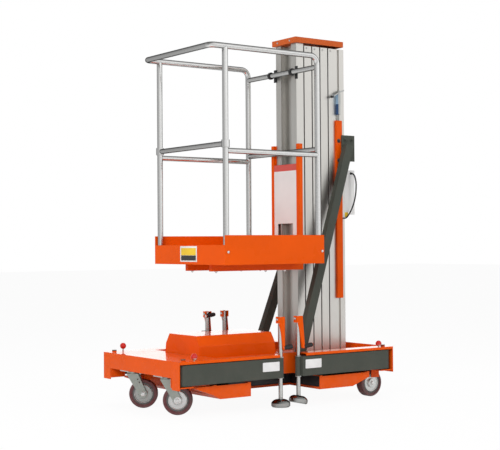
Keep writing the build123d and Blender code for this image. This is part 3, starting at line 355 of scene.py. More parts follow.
def moulded(name, rgba, roughness, grain, strength, low=0.0):
    """Plastic or rubber with a fine moulded grain."""
    tree, shader, place = new_material(name)
    rough = {2: roughness * 0.85, 3: roughness * 1.15}
    mottle = placed(tree, "Mottle", {0: place, 1: grain / 40, **rough})
    tone = mix_colours(tree, mottle.outputs[1], darker(rgba, 0.85), tuple(rgba))
    dust = placed(tree, "Dust", {0: place, 1: 0.05, 2: low})
    dusty = mix_colours(tree, dust.outputs[0], tone, DUST_COLOUR)
    tree.links.new(dusty, shader.inputs["Base Color"])
    tree.links.new(mottle.outputs[0], shader.inputs["Roughness"])
    soft_normal(tree, shader, mottle.outputs[2], strength, 0.0003)
    return tree, shader, place


class LIFT_OT_make_finishes(bpy.types.Operator):
    """Makes the shared shader groups and every finish of the lift"""

    bl_idname = "lift.make_finishes"
    bl_label = "Make Finishes"

    def execute(self, context):
        c = context.scene.lift_colours
        GROUPS["Mottle"] = mottle_group()
        GROUPS["Streaks"] = streak_group()
        GROUPS["Dust"] = dust_group()
        GROUPS["Edge wear"] = wear_group()
        paint("Orange paint", c.orange, 0.30, 0.08, wear=0.2, worn=WORN_ORANGE, upward=0.08, low=0.12,
              polished=0.74)
        paint("Cap paint", c.cap, 0.5, 0.0, wear=0.5, worn=WORN_CAP, upward=0.3)
        paint("Grey paint", c.grey, 0.42, 0.08, wear=0.4, worn=(0.26, 0.26, 0.24, 1), upward=0.10, low=0.12)
        paint("White enamel", c.white, 0.35, 0.2, wear=0.2, worn=(0.5, 0.5, 0.5, 1), upward=0.05)
        paint("Dark unit", c.unit, 0.45, 0.0, wear=0.3, upward=0.2, low=0.2)
        metal("Mast aluminium", c.aluminium, 0.30, 0.44, (500, 500, 3), 0.10, 1.0, 0.06)
        # The chrome tubes get a painted dark reflection along their edges
        metal("Chrome tube", c.chrome, 0.10, 0.18, (120, 120, 120), 0.02, 1.0, 0.03, painted_dark_rim=0.9)
        metal("Zinc plate", c.zinc, 0.30, 0.45, (60, 60, 60), 0.08, 1.0, 0.15)
        metal("Fork zinc", c.fork, 0.34, 0.50, (60, 60, 60), 0.08, 1.0, 0.25)
        # Far wheel centres darker as painted shade, near ones lighter as painted light
        metal("Far hub with painted shade", c.hub, 0.30, 0.45, (90, 90, 90), 0.06, 1.0, 0.15)
        metal("Near hub with painted light", c.near_hub_painted_light, 0.28, 0.40, (90, 90, 90), 0.06, 1.0, 0.1)
        metal("Bright steel", c.steel, 0.18, 0.28, (200, 200, 200), 0.05, 1.0, 0.0)
        metal("Dark steel", c.dark_steel, 0.30, 0.45, (200, 200, 200), 0.10, 0.9, 0.2)
        self.screw(c)
        self.notice(c)
        self.tray_floor(c)
        moulded("Tread", c.tread, 0.42, 500, 0.15, low=0.25)
        moulded("Dark core", c.core, 0.35, 300, 0.25, low=0.25)
        moulded("Black plastic", c.black, 0.45, 900, 0.3)
        moulded("Black rubber", c.black, 0.62, 700, 0.4)
        self.knob(c)
        self.pin(c)
        self.switch(c)
        moulded("Yellow plate", c.yellow, 0.35, 300, 0.05)
        moulded("White plate", c.white, 0.38, 300, 0.04)
        moulded("Black plate", c.panel, 0.38, 300, 0.04)
        return {"FINISHED"}

    def screw(self, c):
        """Bright zinc with a fine thread above the foot, which is darker."""
        foot_top, pitch, to_one = 0.058, 0.002, 500.0
        # The screw gets a painted dark reflection along its edges
        tree, shader, place = metal("Jack screw", c.zinc, 0.12, 0.22, (60, 60, 60), 0.10, 1.0, 0.2, painted_dark_rim=0.8)
        height = split(tree, place)[2]
        repaint(tree, shader, maths(tree, "LESS_THAN", height, foot_top), darker(c.zinc, 0.62))
        thread = maths(tree, "MULTIPLY", maths(tree, "PINGPONG", height, pitch), to_one)
        above = maths(tree, "GREATER_THAN", height, foot_top)
        soft_normal(tree, shader, maths(tree, "MULTIPLY", thread, above), 0.35, 0.0005, 0.0012)

    def knob(self, c):
        """Red ball on a plated stem."""
        tree, shader, place = moulded("Red plastic", c.red, 0.22, 200, 0.05)
        ball = 0.0325
        stem = maths(tree, "LESS_THAN", split(tree, place)[2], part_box("locking_knobs")[1].z - ball)
        repaint(tree, shader, stem, c.zinc)
        tree.links.new(stem, shader.inputs["Metallic"])

    def pin(self, c):
        """Dark steel heads over a painted collar."""
        tree, shader, place = paint("Pin paint", c.orange, 0.35, 0.08)
        bare = 0.005
        head = maths(tree, "GREATER_THAN", split(tree, place)[2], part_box("pivot_pins")[1].z - bare)
        repaint(tree, shader, head, c.pin)

    def switch(self, c):
        """Light blue above navy, with a steel lever and tube and a black roller."""
        tree, shader, place = moulded("Switch plastic", darker(c.blue, 0.5), 0.40, 500, 0.15)
        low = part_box("limit_switch")[0]
        navy_top, boss_bottom, tube_top, lever_inner, roller_end = 0.092, 0.1485, 0.0328, 0.0041, 0.0131
        x, y, z = split(tree, place)
        repaint(tree, shader, maths(tree, "GREATER_THAN", z, low.z + navy_top), c.light_blue)
        lever = maths(tree, "LESS_THAN", y, low.y + lever_inner)
        boss = maths(tree, "GREATER_THAN", z, low.z + boss_bottom)
        tube = maths(tree, "LESS_THAN", z, low.z + tube_top)
        steel = maths(tree, "MAXIMUM", maths(tree, "MAXIMUM", lever, boss), tube)
        repaint(tree, shader, steel, c.lever)
        roller = maths(tree, "LESS_THAN", x, low.x + roller_end)
        repaint(tree, shader, roller, c.black)
        bare = maths(tree, "MULTIPLY", steel, maths(tree, "SUBTRACT", 1.0, roller))
        tree.links.new(bare, shader.inputs["Metallic"])

    def notice(self, c):
        """White sheet with a red band across its top."""
        tree, shader, place = paint("Notice sheet", c.white, 0.35, 0.3, wear=0.1, worn=(0.4, 0.4, 0.4, 1))
        width = 0.036
        band = maths(tree, "GREATER_THAN", split(tree, place)[2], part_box("notice_plate")[1].z - width)
        repaint(tree, shader, band, c.band)

    def tray_floor(self, c):
        """Orange paint, with raised tears in crossing rows on the floor of the tray."""
        tree, shader, place = paint("Tray paint", c.orange, 0.30, 0.08, wear=0.2, worn=WORN_ORANGE,
                                    upward=0.15, polished=0.6)
        step, floor_depth, cut = 0.018, 0.008, 0.55
        x, y, z = split(tree, place)
        inside = maths(tree, "LESS_THAN", z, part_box("platform_tray")[0].z + floor_depth)
        over = maths(tree, "MULTIPLY", inside, upward_mask(tree))
        rows = []
        for way in ("ADD", "SUBTRACT"):
            row = maths(tree, "PINGPONG", maths(tree, way, x, y), step)
            rows.append(maths(tree, "DIVIDE", row, step))
        tears = maths(tree, "GREATER_THAN", maths(tree, "MULTIPLY", *rows), cut)
        height = maths(tree, "MULTIPLY", tears, over)
        bump = add(tree, "Bump", {"Strength": 0.6, "Distance": 0.0015, "Height": height,
                                  "Normal": source_of(shader, "Normal")})
        tree.links.new(bump.outputs[0], shader.inputs["Normal"])


# Modelling helpers


# How deep the fittings are sunk in the faces that carry them
SUNK = 0.0005


def begin():
    return bmesh.new()


def keep(bm, name, body, material):
    """Turns a bmesh into a piece of the object, with its place in its mesh."""
    bmesh.ops.remove_doubles(bm, verts=bm.verts, dist=1e-6)
    bmesh.ops.recalc_face_normals(bm, faces=bm.faces)
    mesh = bpy.data.meshes.new(name)
    bm.to_mesh(mesh)
    bm.free()
    made = bpy.data.objects.new(name, mesh)
    bpy.context.scene.collection.objects.link(made)
    mesh.materials.append(MATERIALS[material])
    mesh.shade_smooth()
    mesh.set_sharp_from_angle(angle=math.radians(35))
    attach(made, body)


def facing(point, direction):
    """The placement whose Z points along the direction, at the point."""
    turn = Vector(direction).to_track_quat("Z", "Y").to_matrix().to_4x4()
    return Matrix.Translation(point) @ turn


def ease(bm, edges, offset, segments=2):
    """Rounds some edges off."""
    bmesh.ops.bevel(bm, geom=edges, offset=offset, segments=segments, profile=0.5, affect="EDGES",
                    material=-1)


def disc(bm, place, radius, low, high, segments=24, bevel=0.0):
    """A round or many-sided plug from low to high along the placement's Z."""
    middle = Matrix.Translation((0, 0, (low + high) / 2))
    made = bmesh.ops.create_cone(bm, cap_ends=True, segments=segments, radius1=radius, radius2=radius,
                                 depth=high - low, matrix=place @ middle)
    if bevel:
        top = [v for v in made["verts"] if (place.inverted() @ v.co).z > high - 1e-6]
        ease(bm, [e for e in {e for v in top for e in v.link_edges} if all(v in top for v in e.verts)], bevel)


def bolt(bm, point, direction, across):
    """A hexagon head on a washer."""
    place = facing(point, direction)
    disc(bm, place, across * 0.95, -SUNK, across * 0.16, 24, across * 0.05)
    disc(bm, place, across * 0.577, across * 0.16, across * 0.75, 6, across * 0.08)
    disc(bm, place, across * 0.28, across * 0.75, across * 0.95, 16, across * 0.06)


def dome_screw(bm, point, direction, radius):
    """A low round head."""
    place = facing(point, direction)
    disc(bm, place, radius, -SUNK, radius * 0.7, 20, radius * 0.45)


def turned(bm, profile, place, steps=48):
    """Spins a profile of (radius, height) once round the placement's Z."""
    points = [bm.verts.new(place @ Vector((radius, 0, height))) for radius, height in profile]
    lines = [bm.edges.new(pair) for pair in zip(points, points[1:])]
    axis = place.to_3x3() @ Vector((0, 0, 1))
    bmesh.ops.spin(bm, geom=points + lines, cent=place.translation, axis=axis, angle=TAU, steps=steps,
                   use_merge=True)


def slab(bm, low, high, bevel=0.0):
    """A box between two corners, with its edges broken."""
    low, high = Vector(low), Vector(high)
    size = high - low
    place = Matrix.Translation((low + high) / 2) @ Matrix.Diagonal((size.x, size.y, size.z, 1))
    made = bmesh.ops.create_cube(bm, size=1.0, matrix=place)
    if bevel:
        ease(bm, list({e for v in made["verts"] for e in v.link_edges}), bevel)


def plate(name, body, material, low, high, corner=0.003):
    """A thin blank plate with eased corners."""
    bm = begin()
    slab(bm, low, high)
    thin = min(range(3), key=lambda k: abs(high[k] - low[k]))
    ease(bm, [e for e in bm.edges if abs((e.verts[0].co - e.verts[1].co)[thin]) > 1e-5], corner, 4)
    keep(bm, name, body, material)


def jack_axis(end, side):
    """A point on the axis of a jack, at floor level."""
    return Vector((JACK_MIDDLE_X + end * JACK_REACH, side * JACK_ACROSS, 0))


# Operators


class LIFT_OT_paint_frame(bpy.types.Operator):
    """Gives every solid of the frame its finish"""

    bl_idname = "lift.paint_frame"
    bl_label = "Paint Frame"

    RULES = [
        ("mast_stage", "Mast aluminium"),
        ("outrigger", "Grey paint"),
        ("brace", "Grey paint"),
        ("jack", "Jack screw"),
        ("fork", "Fork zinc"),
        # The battery block is black; where it reaches into the bellies, its black stands in for their shade
        # as painted shade
        ("battery_block", "Black plastic"),
        ("castor_plates", "Zinc plate"),
        ("tread", "Tread"),
        # The near wheel centres get the lighter finish as painted light, the others the darker one as painted
        # shade
        ("core_front_near", "Near hub with painted light"),
        ("core_rear_near", "Near hub with painted light"),
        ("core", "Far hub with painted shade"),
        ("guard_hoop", "Chrome tube"),
        ("front_posts", "Chrome tube"),
        ("side_rails", "Chrome tube"),
        ("back_rails", "Chrome tube"),
        ("gate_bar", "Chrome tube"),
        ("notice_plate", "Notice sheet"),
        ("control_box", "White enamel"),
        ("locking_knobs", "Red plastic"),
        ("pivot_pins", "Pin paint"),
        ("power_unit", "Dark unit"),
        ("rail_clamps", "Black plastic"),
        ("box_cable", "Black rubber"),
        ("limit_switch", "Switch plastic"),
        ("mast_cap", "Cap paint"),
        ("platform_tray", "Tray paint"),
    ]

    def execute(self, context):
        for name, solid in NODES.items():
            finish = next((f for start, f in self.RULES if name.startswith(start)), "Orange paint")
            solid.data.materials.clear()
            solid.data.materials.append(MATERIALS[finish])
        return {"FINISHED"}


class LIFT_OT_add_wheel_trim(bpy.types.Operator):
    """Adds the bright hub rings, bearing caps and axle nuts of the wheels"""

    bl_idname = "lift.add_wheel_trim"
    bl_label = "Wheel Trim"

    # Profiles as radius and distance from the middle of the wheel
    LIP = [(0.0625, 0.0180), (0.0625, 0.0205), (0.0560, 0.0205), (0.0560, 0.0160)]
    BAND = [(0.0560, 0.0160), (0.0560, 0.0195), (0.0540, 0.0200), (0.0485, 0.0200), (0.0475, 0.0190),
            (0.0475, 0.0160)]
    RIM = [(0.0475, 0.0165), (0.0475, 0.0198), (0.0455, 0.0210), (0.0435, 0.0198), (0.0435, 0.0165)]
    HUB = [(0.0245, 0.0165), (0.0245, 0.0235), (0.0230, 0.0250), (0.0170, 0.0250), (0.0170, 0.0275),
           (0.0090, 0.0279)]
    # How far the nuts stand from the middle of a wheel: on the forks and inner plates, on the outer plates
    FORK_REACH = 0.0352
    PLATE_REACH = 0.0282
    WASHER = 0.0125
    LARGE_WASHER = 0.0185
    WASHER_THICK = 0.0015
    NUT = 0.0105
    NUT_TOP = 0.0075

    def execute(self, context):
        for corner, end, side in CORNERS:
            low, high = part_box("core_" + corner)
            middle = (low + high) / 2
            front = end < 0
            angle = FORK_TURN if front else 0.0
            axis = Vector((-math.sin(angle), math.cos(angle), 0))
            rings, bands, lips, nuts = begin(), begin(), begin(), begin()
            for way in (-1, 1):
                place = facing(middle, axis * way)
                turned(lips, self.LIP, place)
                turned(bands, self.BAND, place)
                turned(rings, self.RIM, place)
                turned(rings, self.HUB, place)
                reach = self.FORK_REACH if front or way * side < 0 else self.PLATE_REACH
                washer = self.LARGE_WASHER if corner == "front_near" and way * side > 0 else self.WASHER
                seat = facing(middle + axis * way * reach, axis * way)
                disc(nuts, seat, washer, -SUNK, self.WASHER_THICK, 32, 0.0004)
                disc(nuts, seat, self.NUT, self.WASHER_THICK, self.NUT_TOP, 6, 0.0010)
            body = "wheel_" + corner
            carrier = "fork_" + corner if front else "base"
            keep(rings, "hub_rings_" + corner, body, "Bright steel")
            keep(bands, "rim_bands_" + corner, body, "Dark core")
            keep(lips, "tread_lips_" + corner, body, "Tread")
            keep(nuts, "axle_nuts_" + corner, carrier, "Bright steel")
        return {"FINISHED"}


class LIFT_OT_add_grips(bpy.types.Operator):
    """Adds the rubber sleeves, end caps and pivot bolts of the folded cranks"""

    bl_idname = "lift.add_grips"
    bl_label = "Crank Grips"

    # Each grip: its lean in degrees, then, from the screw, its pivot and its start along X, its place
    # across and its height above the floor
    GRIPS = {
        "front_near": (5.0, 0.019, 0.013, 0.008, 0.311),
        "front_far": (7.0, 0.033, -0.019, -0.015, 0.452),
        "rear_near": (8.0, 0.035, 0.029, 0.008, 0.311),
        "rear_far": (8.0, 0.036, 0.030, 0.008, 0.311),
    }
    LENGTH = 0.060
    BAR = 0.0095
    RIBS = 8
    RIB_STEP = 0.006
    RIB_RISE = 0.0008
    CAP_INSET = 0.003
    BOLT_HEIGHT = 0.457
    BOLT_SEATS = ((-0.017, -1), (0.020, 1))
    # Radius and height of the rubber washer on the far front jack
    COLLAR = [(0.0115, 0.3565), (0.0325, 0.3565), (0.0330, 0.3570), (0.0330, 0.3605), (0.0320, 0.3610),
              (0.0115, 0.3610), (0.0115, 0.3565)]

    def execute(self, context):
        radius = self.BAR + context.scene.lift_sizes.grip
        for corner, end, side in CORNERS:
            jack = jack_axis(end, side)
            body = "jack_" + corner
            lean, pivot, start, across, height = self.GRIPS[corner]
            place = self.leaned(jack + Vector((pivot, 0, height)), lean,
                                jack + Vector((start, side * across, height)))
            sleeve = begin()
            turned(sleeve, self.sleeve_profile(radius), place, 32)
            keep(sleeve, "grip_" + corner, body, "Black rubber")
            cap = begin()
            for low, high in ((self.LENGTH - 0.0005, self.LENGTH + 0.0015), (-0.0012, 0.0015)):
                disc(cap, place, radius - self.CAP_INSET, low, high, 32, 0.0005)
            keep(cap, "grip_cap_" + corner, body, "Bright steel")
            heads = begin()
            for x, way in self.BOLT_SEATS:
                seat = facing(jack + Vector((x, 0, self.BOLT_HEIGHT)), (way, 0, 0))
                disc(heads, seat, 0.0080, -SUNK, 0.0060, 6, 0.0008)
            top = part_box("jack_" + corner)[1].z
            disc(heads, facing(jack + Vector((0, 0, top)), (0, 0, 1)), 0.0085, -0.001, 0.005, 6, 0.001)
            keep(heads, "crank_bolts_" + corner, body, "Bright steel")
        collar = begin()
        turned(collar, self.COLLAR, facing(jack_axis(-1, 1), (0, 0, 1)))
        keep(collar, "collar_washer", "jack_front_far", "Black rubber")
        return {"FINISHED"}

    def leaned(self, pivot, lean, start):
        """The placement of a grip that lies along X from its start, leaned about Y at the pivot."""
        turn = (Matrix.Translation(pivot) @ Matrix.Rotation(math.radians(-lean), 4, "Y")
                @ Matrix.Translation(-pivot))
        return turn @ facing(start, (1, 0, 0))

    def sleeve_profile(self, radius):
        """Radius and distance along a ribbed sleeve, from its rounded start to its rounded end."""
        rings = [(0.0, 0.002), (radius, 0.002)]
        for k in range(self.RIBS):
            z = 0.005 + k * self.RIB_STEP
            rings += [(radius, z), (radius + self.RIB_RISE, z + 0.0015), (radius + self.RIB_RISE, z + 0.0035),
                      (radius, z + 0.005)]
        return rings + [(radius, self.LENGTH - 0.004), (radius - 0.002, self.LENGTH - 0.0005),
                        (0.0, self.LENGTH)]


class LIFT_OT_add_jack_trim(bpy.types.Operator):
    """Adds the nuts of the jacks above and below their beams"""

    bl_idname = "lift.add_jack_trim"
    bl_label = "Jack Trim"

    # Profiles as radius and distance from the face of the beam
    UPPER = [(0.0122, 0.0), (0.0165, 0.0), (0.0165, 0.003), (0.0122, 0.004)]
    LOWER = [(0.0122, 0.0), (0.0165, 0.0), (0.0165, 0.003), (0.0150, 0.004), (0.0150, 0.005),
             (0.0140, 0.006), (0.0122, 0.006)]

    def execute(self, context):
        for corner, end, side in CORNERS:
            low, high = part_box("outrigger_" + corner)
            nuts = begin()
            for level, way, profile in ((high.z, 1, self.UPPER), (low.z, -1, self.LOWER)):
                place = facing(jack_axis(end, side) + Vector((0, 0, level)), (0, 0, way))
                turned(nuts, profile, place, 32)
            keep(nuts, "jack_nuts_" + corner, "outrigger_" + corner, "Zinc plate")
        return {"FINISHED"}


class LIFT_OT_add_plates(bpy.types.Operator):
    """Adds the blank plates on the outriggers, the tray and the control box"""

    bl_idname = "lift.add_plates"
    bl_label = "Blank Plates"

    # Where the beam plates start along X at each end, their length, and their bottom and top
    BEAM_STARTS = {-1: -0.193, 1: 0.083}
    BEAM_LENGTH = 0.106
    BEAM_LEVELS = (0.198, 0.2445)
    # The sides across, the bottom and the top of the tray's plate and of the panels on it
    TRAY_EDGE = (-0.080, 0.079, 0.756, 0.838)
    TRAY_PANEL_SIDES = (-0.071, 0.070)
    TRAY_PANELS = (("tray_plate_upper", "Yellow plate", 0.790, 0.828),
                   ("tray_plate_lower", "Black plate", 0.763, 0.789))
    TRAY_PANEL_HALF = 0.0005

    def execute(self, context):
        thick = context.scene.lift_sizes.plate
        for corner, end, side in CORNERS:
            inner, outer = sorted((side * BEAM_FACE, side * (BEAM_FACE + thick)))
            left = self.BEAM_STARTS[end]
            bottom, top = self.BEAM_LEVELS
            plate("beam_plate_" + corner, "outrigger_" + corner, "White plate", (left, inner, bottom),
                  (left + self.BEAM_LENGTH, outer, top))
        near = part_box("control_box")[0]
        plate("box_tag", "base", "Yellow plate", (near.x + 0.003, near.y - thick, near.z - 0.016),
              (near.x + 0.026, near.y, near.z + 0.012), 0.002)
        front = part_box("platform_tray")[0].x
        left, right, bottom, top = self.TRAY_EDGE
        plate("tray_plate_edge", "platform", "White plate", (front - thick, left, bottom),
              (front, right, top), 0.002)
        face = front - thick
        left, right = self.TRAY_PANEL_SIDES
        for name, finish, bottom, top in self.TRAY_PANELS:
            plate(name, "platform", finish, (face - self.TRAY_PANEL_HALF, left, bottom),
                  (face + self.TRAY_PANEL_HALF, right, top), 0.001)
        return {"FINISHED"}


class LIFT_OT_add_bolts(bpy.types.Operator):
    """Adds the bolt heads of the rear rails, brackets, platform, mast and cap"""

    bl_idname = "lift.add_bolts"
    bl_label = "Bolt Heads"

    RAIL_BOLT = 0.012
    RAIL_HEIGHTS = (1.423, 1.313)
    RAIL_SHIFT = -0.004
    # The outer faces of the brackets, the places of their bolts in X and Z, and their size as a share
    BRACKET_FACE = 0.112
    BRACKET_SEATS = ((0.585, 1.335), (0.585, 1.430), (0.632, 1.430))
    BRACKET_SHARE = 0.8
    ARM_MIDDLE = 0.1125
    ARM_BOTTOM = 0.706
    ARM_SEATS = (-0.30, 0.02, 0.15)
    TRAY_SCREW = 0.0075
    TRAY_HEIGHT = 0.807
    TRAY_FRONT_INSET = 0.0185
    TRAY_REAR_INSET = 0.0145
    MAST_SCREW = 0.0052
    MAST_INSET = 0.017
    MAST_FACE = 0.092
    MAST_HEIGHT = 1.927
    CAP_SCREW = 0.006
    CAP_ACROSS = 0.055
    CAP_HEIGHT = 1.966

    def execute(self, context):
        large = context.scene.lift_sizes.bolt
        small = context.scene.lift_sizes.small_bolt
        brackets, rails, platform = begin(), begin(), begin()
        rail_low, rail_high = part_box("rear_rails")
        tray_low, tray_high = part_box("platform_tray")
        rail_x = (rail_low.x + rail_high.x) / 2 + self.RAIL_SHIFT
        for side in SIDES:
            outwards = (0, side, 0)
            face = rail_high.y if side > 0 else rail_low.y
            for z in self.RAIL_HEIGHTS:
                bolt(rails, (rail_x, face, z), outwards, self.RAIL_BOLT)
            for x, z in self.BRACKET_SEATS:
                bolt(brackets, (x, side * self.BRACKET_FACE, z), outwards, large * self.BRACKET_SHARE)
            for x in self.ARM_SEATS:
                bolt(platform, (x, side * self.ARM_MIDDLE, self.ARM_BOTTOM), (0, 0, -1), small)
            for x in (tray_low.x + self.TRAY_FRONT_INSET, tray_high.x - self.TRAY_REAR_INSET):
                dome_screw(platform, (x, side * tray_high.y, self.TRAY_HEIGHT), outwards, self.TRAY_SCREW)
        for number in (4, 3, 2, 1):
            heads = begin()
            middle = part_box(f"mast_stage_{number}")[0].x + self.MAST_INSET
            for side in SIDES:
                seat = (middle, side * self.MAST_FACE, self.MAST_HEIGHT)
                dome_screw(heads, seat, (0, side, 0), self.MAST_SCREW)
            body = "base" if number == 1 else f"stage_{number}"
            keep(heads, f"mast_bolts_{number}", body, "Zinc plate")
        cap_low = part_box("mast_cap")[0]
        for side in SIDES:
            seat = (cap_low.x, side * self.CAP_ACROSS, self.CAP_HEIGHT)
            dome_screw(platform, seat, (-1, 0, 0), self.CAP_SCREW)
        keep(rails, "rail_bolts", "base", "Dark steel")
        keep(brackets, "frame_bolts", "base", "Grey paint")
        keep(platform, "platform_bolts", "platform", "Bright steel")
        return {"FINISHED"}


class LIFT_OT_add_box_trim(bpy.types.Operator):
    """Adds the door, hinge and lock of the control box, and its cable gland"""

    bl_idname = "lift.add_box_trim"
    bl_label = "Control Box Trim"

    DOOR_INSET = 0.006
    DOOR_THICK = 0.004
    DOOR_EASE = 0.0015
    LOCK_INSET = 0.022
    # The hinges: radius, length, and how far their middles lie from the ends of the door
    HINGE = 0.0035
    HINGE_LENGTH = 0.036
    HINGE_FROM_END = 0.045
    # The cable gland: its distances from the rear and the top of the box, and its radii and heights
    GLAND_FROM_REAR = 0.026
    GLAND_FROM_TOP = 0.018
    GLAND = [(0.0041, 0.0), (0.0070, 0.0), (0.0070, 0.002), (0.0058, 0.004), (0.0041, 0.004)]

    def execute(self, context):
        low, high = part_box("control_box")
        inset = self.DOOR_INSET
        front = high.x + self.DOOR_THICK
        door = begin()
        slab(door, (high.x, low.y + inset, low.z + inset), (front, high.y - inset, high.z - inset),
             self.DOOR_EASE)
        keep(door, "box_door", "base", "White enamel")
        lock = begin()
        place = facing((front, low.y + self.LOCK_INSET, (low.z + high.z) / 2), (1, 0, 0))
        disc(lock, place, 0.009, -SUNK, 0.003, 32, 0.0006)
        disc(lock, place, 0.006, 0.003, 0.0045, 24, 0.0004)
        for z in (low.z + self.HINGE_FROM_END, high.z - self.HINGE_FROM_END):
            hinge = facing((high.x + 0.002, high.y - 0.003, z - self.HINGE_LENGTH / 2), (0, 0, 1))
            disc(lock, hinge, self.HINGE, 0.0, self.HINGE_LENGTH, 16, 0.0005)
        keep(lock, "box_lock", "base", "Bright steel")
        gland = begin()
        place = facing((high.x - self.GLAND_FROM_REAR, low.y, high.z - self.GLAND_FROM_TOP), (0, -1, 0))
        turned(gland, self.GLAND, place, 24)
        keep(gland, "box_gland", "base", "Black plastic")
        return {"FINISHED"}


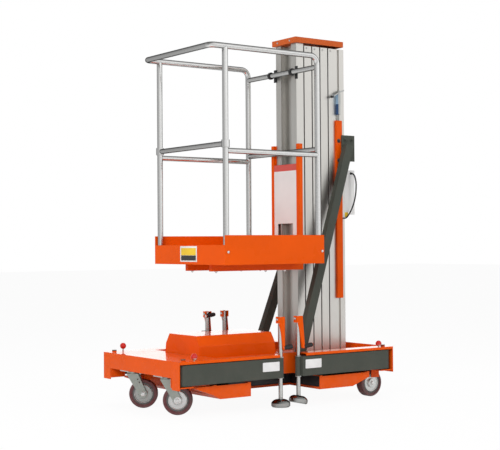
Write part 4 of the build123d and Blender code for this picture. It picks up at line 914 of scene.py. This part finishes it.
class LIFT_OT_set_stage(bpy.types.Operator):
    """Sets the floor, the lights, the world and the camera"""

    bl_idname = "lift.set_stage"
    bl_label = "Studio"

    # Each lamp: its place, what it looks at, its size and its power
    LAMPS = {
        "Key": ((-4.9, -3.1, 3.4), (0, 0, 0.9), 2.6, 240),
        "Fill": ((3.2, -4.6, 2.4), (0.1, 0, 0.9), 2.6, 70),
        "Top": ((0.2, 0.4, 5.0), (0, 0, 0.8), 3.0, 110),
    }
    FLOOR_HALF = 30.0
    FLOOR_COLOUR = (0.82, 0.82, 0.82, 1)
    FLOOR_ROUGHNESS = 0.7
    # How much of the floor is plain white to the camera and in mirrors
    FLOOR_SEEN = 0.94
    FLOOR_MIRRORED = 0.30
    # The world lights the object evenly. In mirrors it is a room: brighter to the rear side, in a band
    # behind the object and to the near side, and darker overhead
    PLAIN_LIGHT = 0.45
    ROOM_LIGHT = 0.76
    REAR_LIGHT = 0.24
    BAND_WAY = (0.585, 0.811, 0.0)
    BAND_LIGHT = 0.70
    OVERHEAD_LIGHT = -0.45
    NEAR_LIGHT = 0.42
    CAMERA_PLACE = (-3.768, -5.222, 0.848)
    YAW, PITCH, ROLL = 35.82, 0.904, -0.405
    SENSOR_WIDTH = 36.0
    FOCAL_SHARE = 1189 / 500

    def execute(self, context):
        scene = context.scene
        scene.view_settings.view_transform = "Standard"
        self.floor(scene)
        self.world(scene)
        for name, (place, aim, size, power) in self.LAMPS.items():
            lamp = bpy.data.lights.new(name, "AREA")
            lamp.shape, lamp.size, lamp.energy = "SQUARE", size, power
            made = bpy.data.objects.new(name, lamp)
            scene.collection.objects.link(made)
            made.visible_glossy = False
            made.location = place
            made.rotation_euler = (Vector(aim) - Vector(place)).to_track_quat("-Z", "Y").to_euler()
        self.camera(scene)
        return {"FINISHED"}

    def mirrored(self, tree, seen):
        """One where a ray comes off a mirror or through glass."""
        return maths(tree, "MAXIMUM", seen.outputs["Is Glossy Ray"], seen.outputs["Is Transmission Ray"])

    def floor(self, scene):
        """A white floor that keeps a trace of the shadows."""
        bm = begin()
        bmesh.ops.create_grid(bm, x_segments=1, y_segments=1, size=self.FLOOR_HALF)
        mesh = bpy.data.meshes.new("floor")
        bm.to_mesh(mesh)
        bm.free()
        made = bpy.data.objects.new("floor", mesh)
        scene.collection.objects.link(made)
        material = bpy.data.materials.new("Floor")
        material.use_nodes = True
        tree = material.node_tree
        shader = node_of(tree, "BSDF_PRINCIPLED")
        shader.inputs["Base Color"].default_value = self.FLOOR_COLOUR
        shader.inputs["Roughness"].default_value = self.FLOOR_ROUGHNESS
        seen = add(tree, "LightPath")
        direct = maths(tree, "MULTIPLY", seen.outputs["Is Camera Ray"], self.FLOOR_SEEN)
        in_mirrors = maths(tree, "MULTIPLY", self.mirrored(tree, seen), self.FLOOR_MIRRORED)
        share = maths(tree, "ADD", direct, in_mirrors)
        glow = add(tree, "Emission", {0: (1, 1, 1, 1), 1: 1.0})
        mixed = add(tree, "MixShader", {0: share, 1: shader.outputs[0], 2: glow.outputs[0]})
        tree.links.new(mixed.outputs[0], node_of(tree, "OUTPUT_MATERIAL").inputs[0])
        mesh.materials.append(material)

    def world(self, scene):
        """A white backdrop, an even light and the room that mirrors show."""
        world = bpy.data.worlds.new("Studio")
        scene.world = world
        world.use_nodes = True
        tree = world.node_tree
        back = node_of(tree, "BACKGROUND")
        seen = add(tree, "LightPath")
        where = add(tree, "TexCoord").outputs["Generated"]
        x, y, z = split(tree, where)
        behind = add(tree, "VectorMath", {0: where, 1: self.BAND_WAY}, operation="DOT_PRODUCT").outputs[1]
        rear = maths(tree, "MULTIPLY", x, self.REAR_LIGHT)
        band = ranged(tree, behind, 0.70, 0.96, 0.0, self.BAND_LIGHT)
        overhead = ranged(tree, z, 0.22, 0.75, 0.0, self.OVERHEAD_LIGHT)
        near = maths(tree, "MULTIPLY", ranged(tree, y, -0.20, -0.75, 0.0, self.NEAR_LIGHT),
                     ranged(tree, z, -0.12, 0.20, 0.25, 1.0))
        room = maths(tree, "ADD", maths(tree, "ADD", rear, band), maths(tree, "ADD", overhead, near))
        room = maths(tree, "ADD", room, self.ROOM_LIGHT)
        light = add(tree, "Mix", {0: self.mirrored(tree, seen), 2: self.PLAIN_LIGHT, 3: room}).outputs[0]
        back.inputs[0].default_value = (1, 1, 1, 1)
        tree.links.new(maths(tree, "MAXIMUM", light, seen.outputs["Is Camera Ray"]), back.inputs[1])

    def camera(self, scene):
        """The photographed view."""
        yaw, pitch, roll = (math.radians(angle) for angle in (self.YAW, self.PITCH, self.ROLL))
        level = math.cos(pitch)
        ahead = Vector((math.sin(yaw) * level, math.cos(yaw) * level, math.sin(pitch)))
        right = Vector((math.cos(yaw), -math.sin(yaw), 0))
        across = math.cos(roll) * right + math.sin(roll) * right.cross(ahead)
        lens = bpy.data.cameras.new("Camera")
        lens.sensor_width, lens.lens = self.SENSOR_WIDTH, self.SENSOR_WIDTH * self.FOCAL_SHARE
        made = bpy.data.objects.new("Camera", lens)
        scene.collection.objects.link(made)
        place = Matrix((across, across.cross(ahead), -ahead)).transposed().to_4x4()
        place.translation = self.CAMERA_PLACE
        made.matrix_world = place
        scene.camera = made


class LIFT_PT_panel(bpy.types.Panel):
    """Lists the lift's colours, sizes and pieces"""

    bl_label = "Mast Lift"
    bl_idname = "LIFT_PT_panel"
    bl_space_type = "VIEW_3D"
    bl_region_type = "UI"
    bl_category = "Mast Lift"

    def draw(self, context):
        for group in (context.scene.lift_colours, context.scene.lift_sizes):
            box = self.layout.box()
            for key in group.__annotations__:
                box.prop(group, key)
        for operator in OPERATORS:
            self.layout.operator(operator.bl_idname)


OPERATORS = [
    LIFT_OT_make_finishes,
    LIFT_OT_paint_frame,
    LIFT_OT_add_wheel_trim,
    LIFT_OT_add_grips,
    LIFT_OT_add_jack_trim,
    LIFT_OT_add_plates,
    LIFT_OT_add_bolts,
    LIFT_OT_add_box_trim,
    LIFT_OT_set_stage,
]
CLASSES = [LiftColours, LiftSizes, *OPERATORS, LIFT_PT_panel]


def register():
    for made in CLASSES:
        bpy.utils.register_class(made)
    bpy.types.Scene.lift_colours = bpy.props.PointerProperty(type=LiftColours)
    bpy.types.Scene.lift_sizes = bpy.props.PointerProperty(type=LiftSizes)


def unregister():
    del bpy.types.Scene.lift_sizes
    del bpy.types.Scene.lift_colours
    for made in reversed(CLASSES):
        bpy.utils.unregister_class(made)


def main():
    register()
    for operator in OPERATORS:
        group, name = operator.bl_idname.split(".")
        getattr(getattr(bpy.ops, group), name)()


if __name__ == "__main__":
    main()
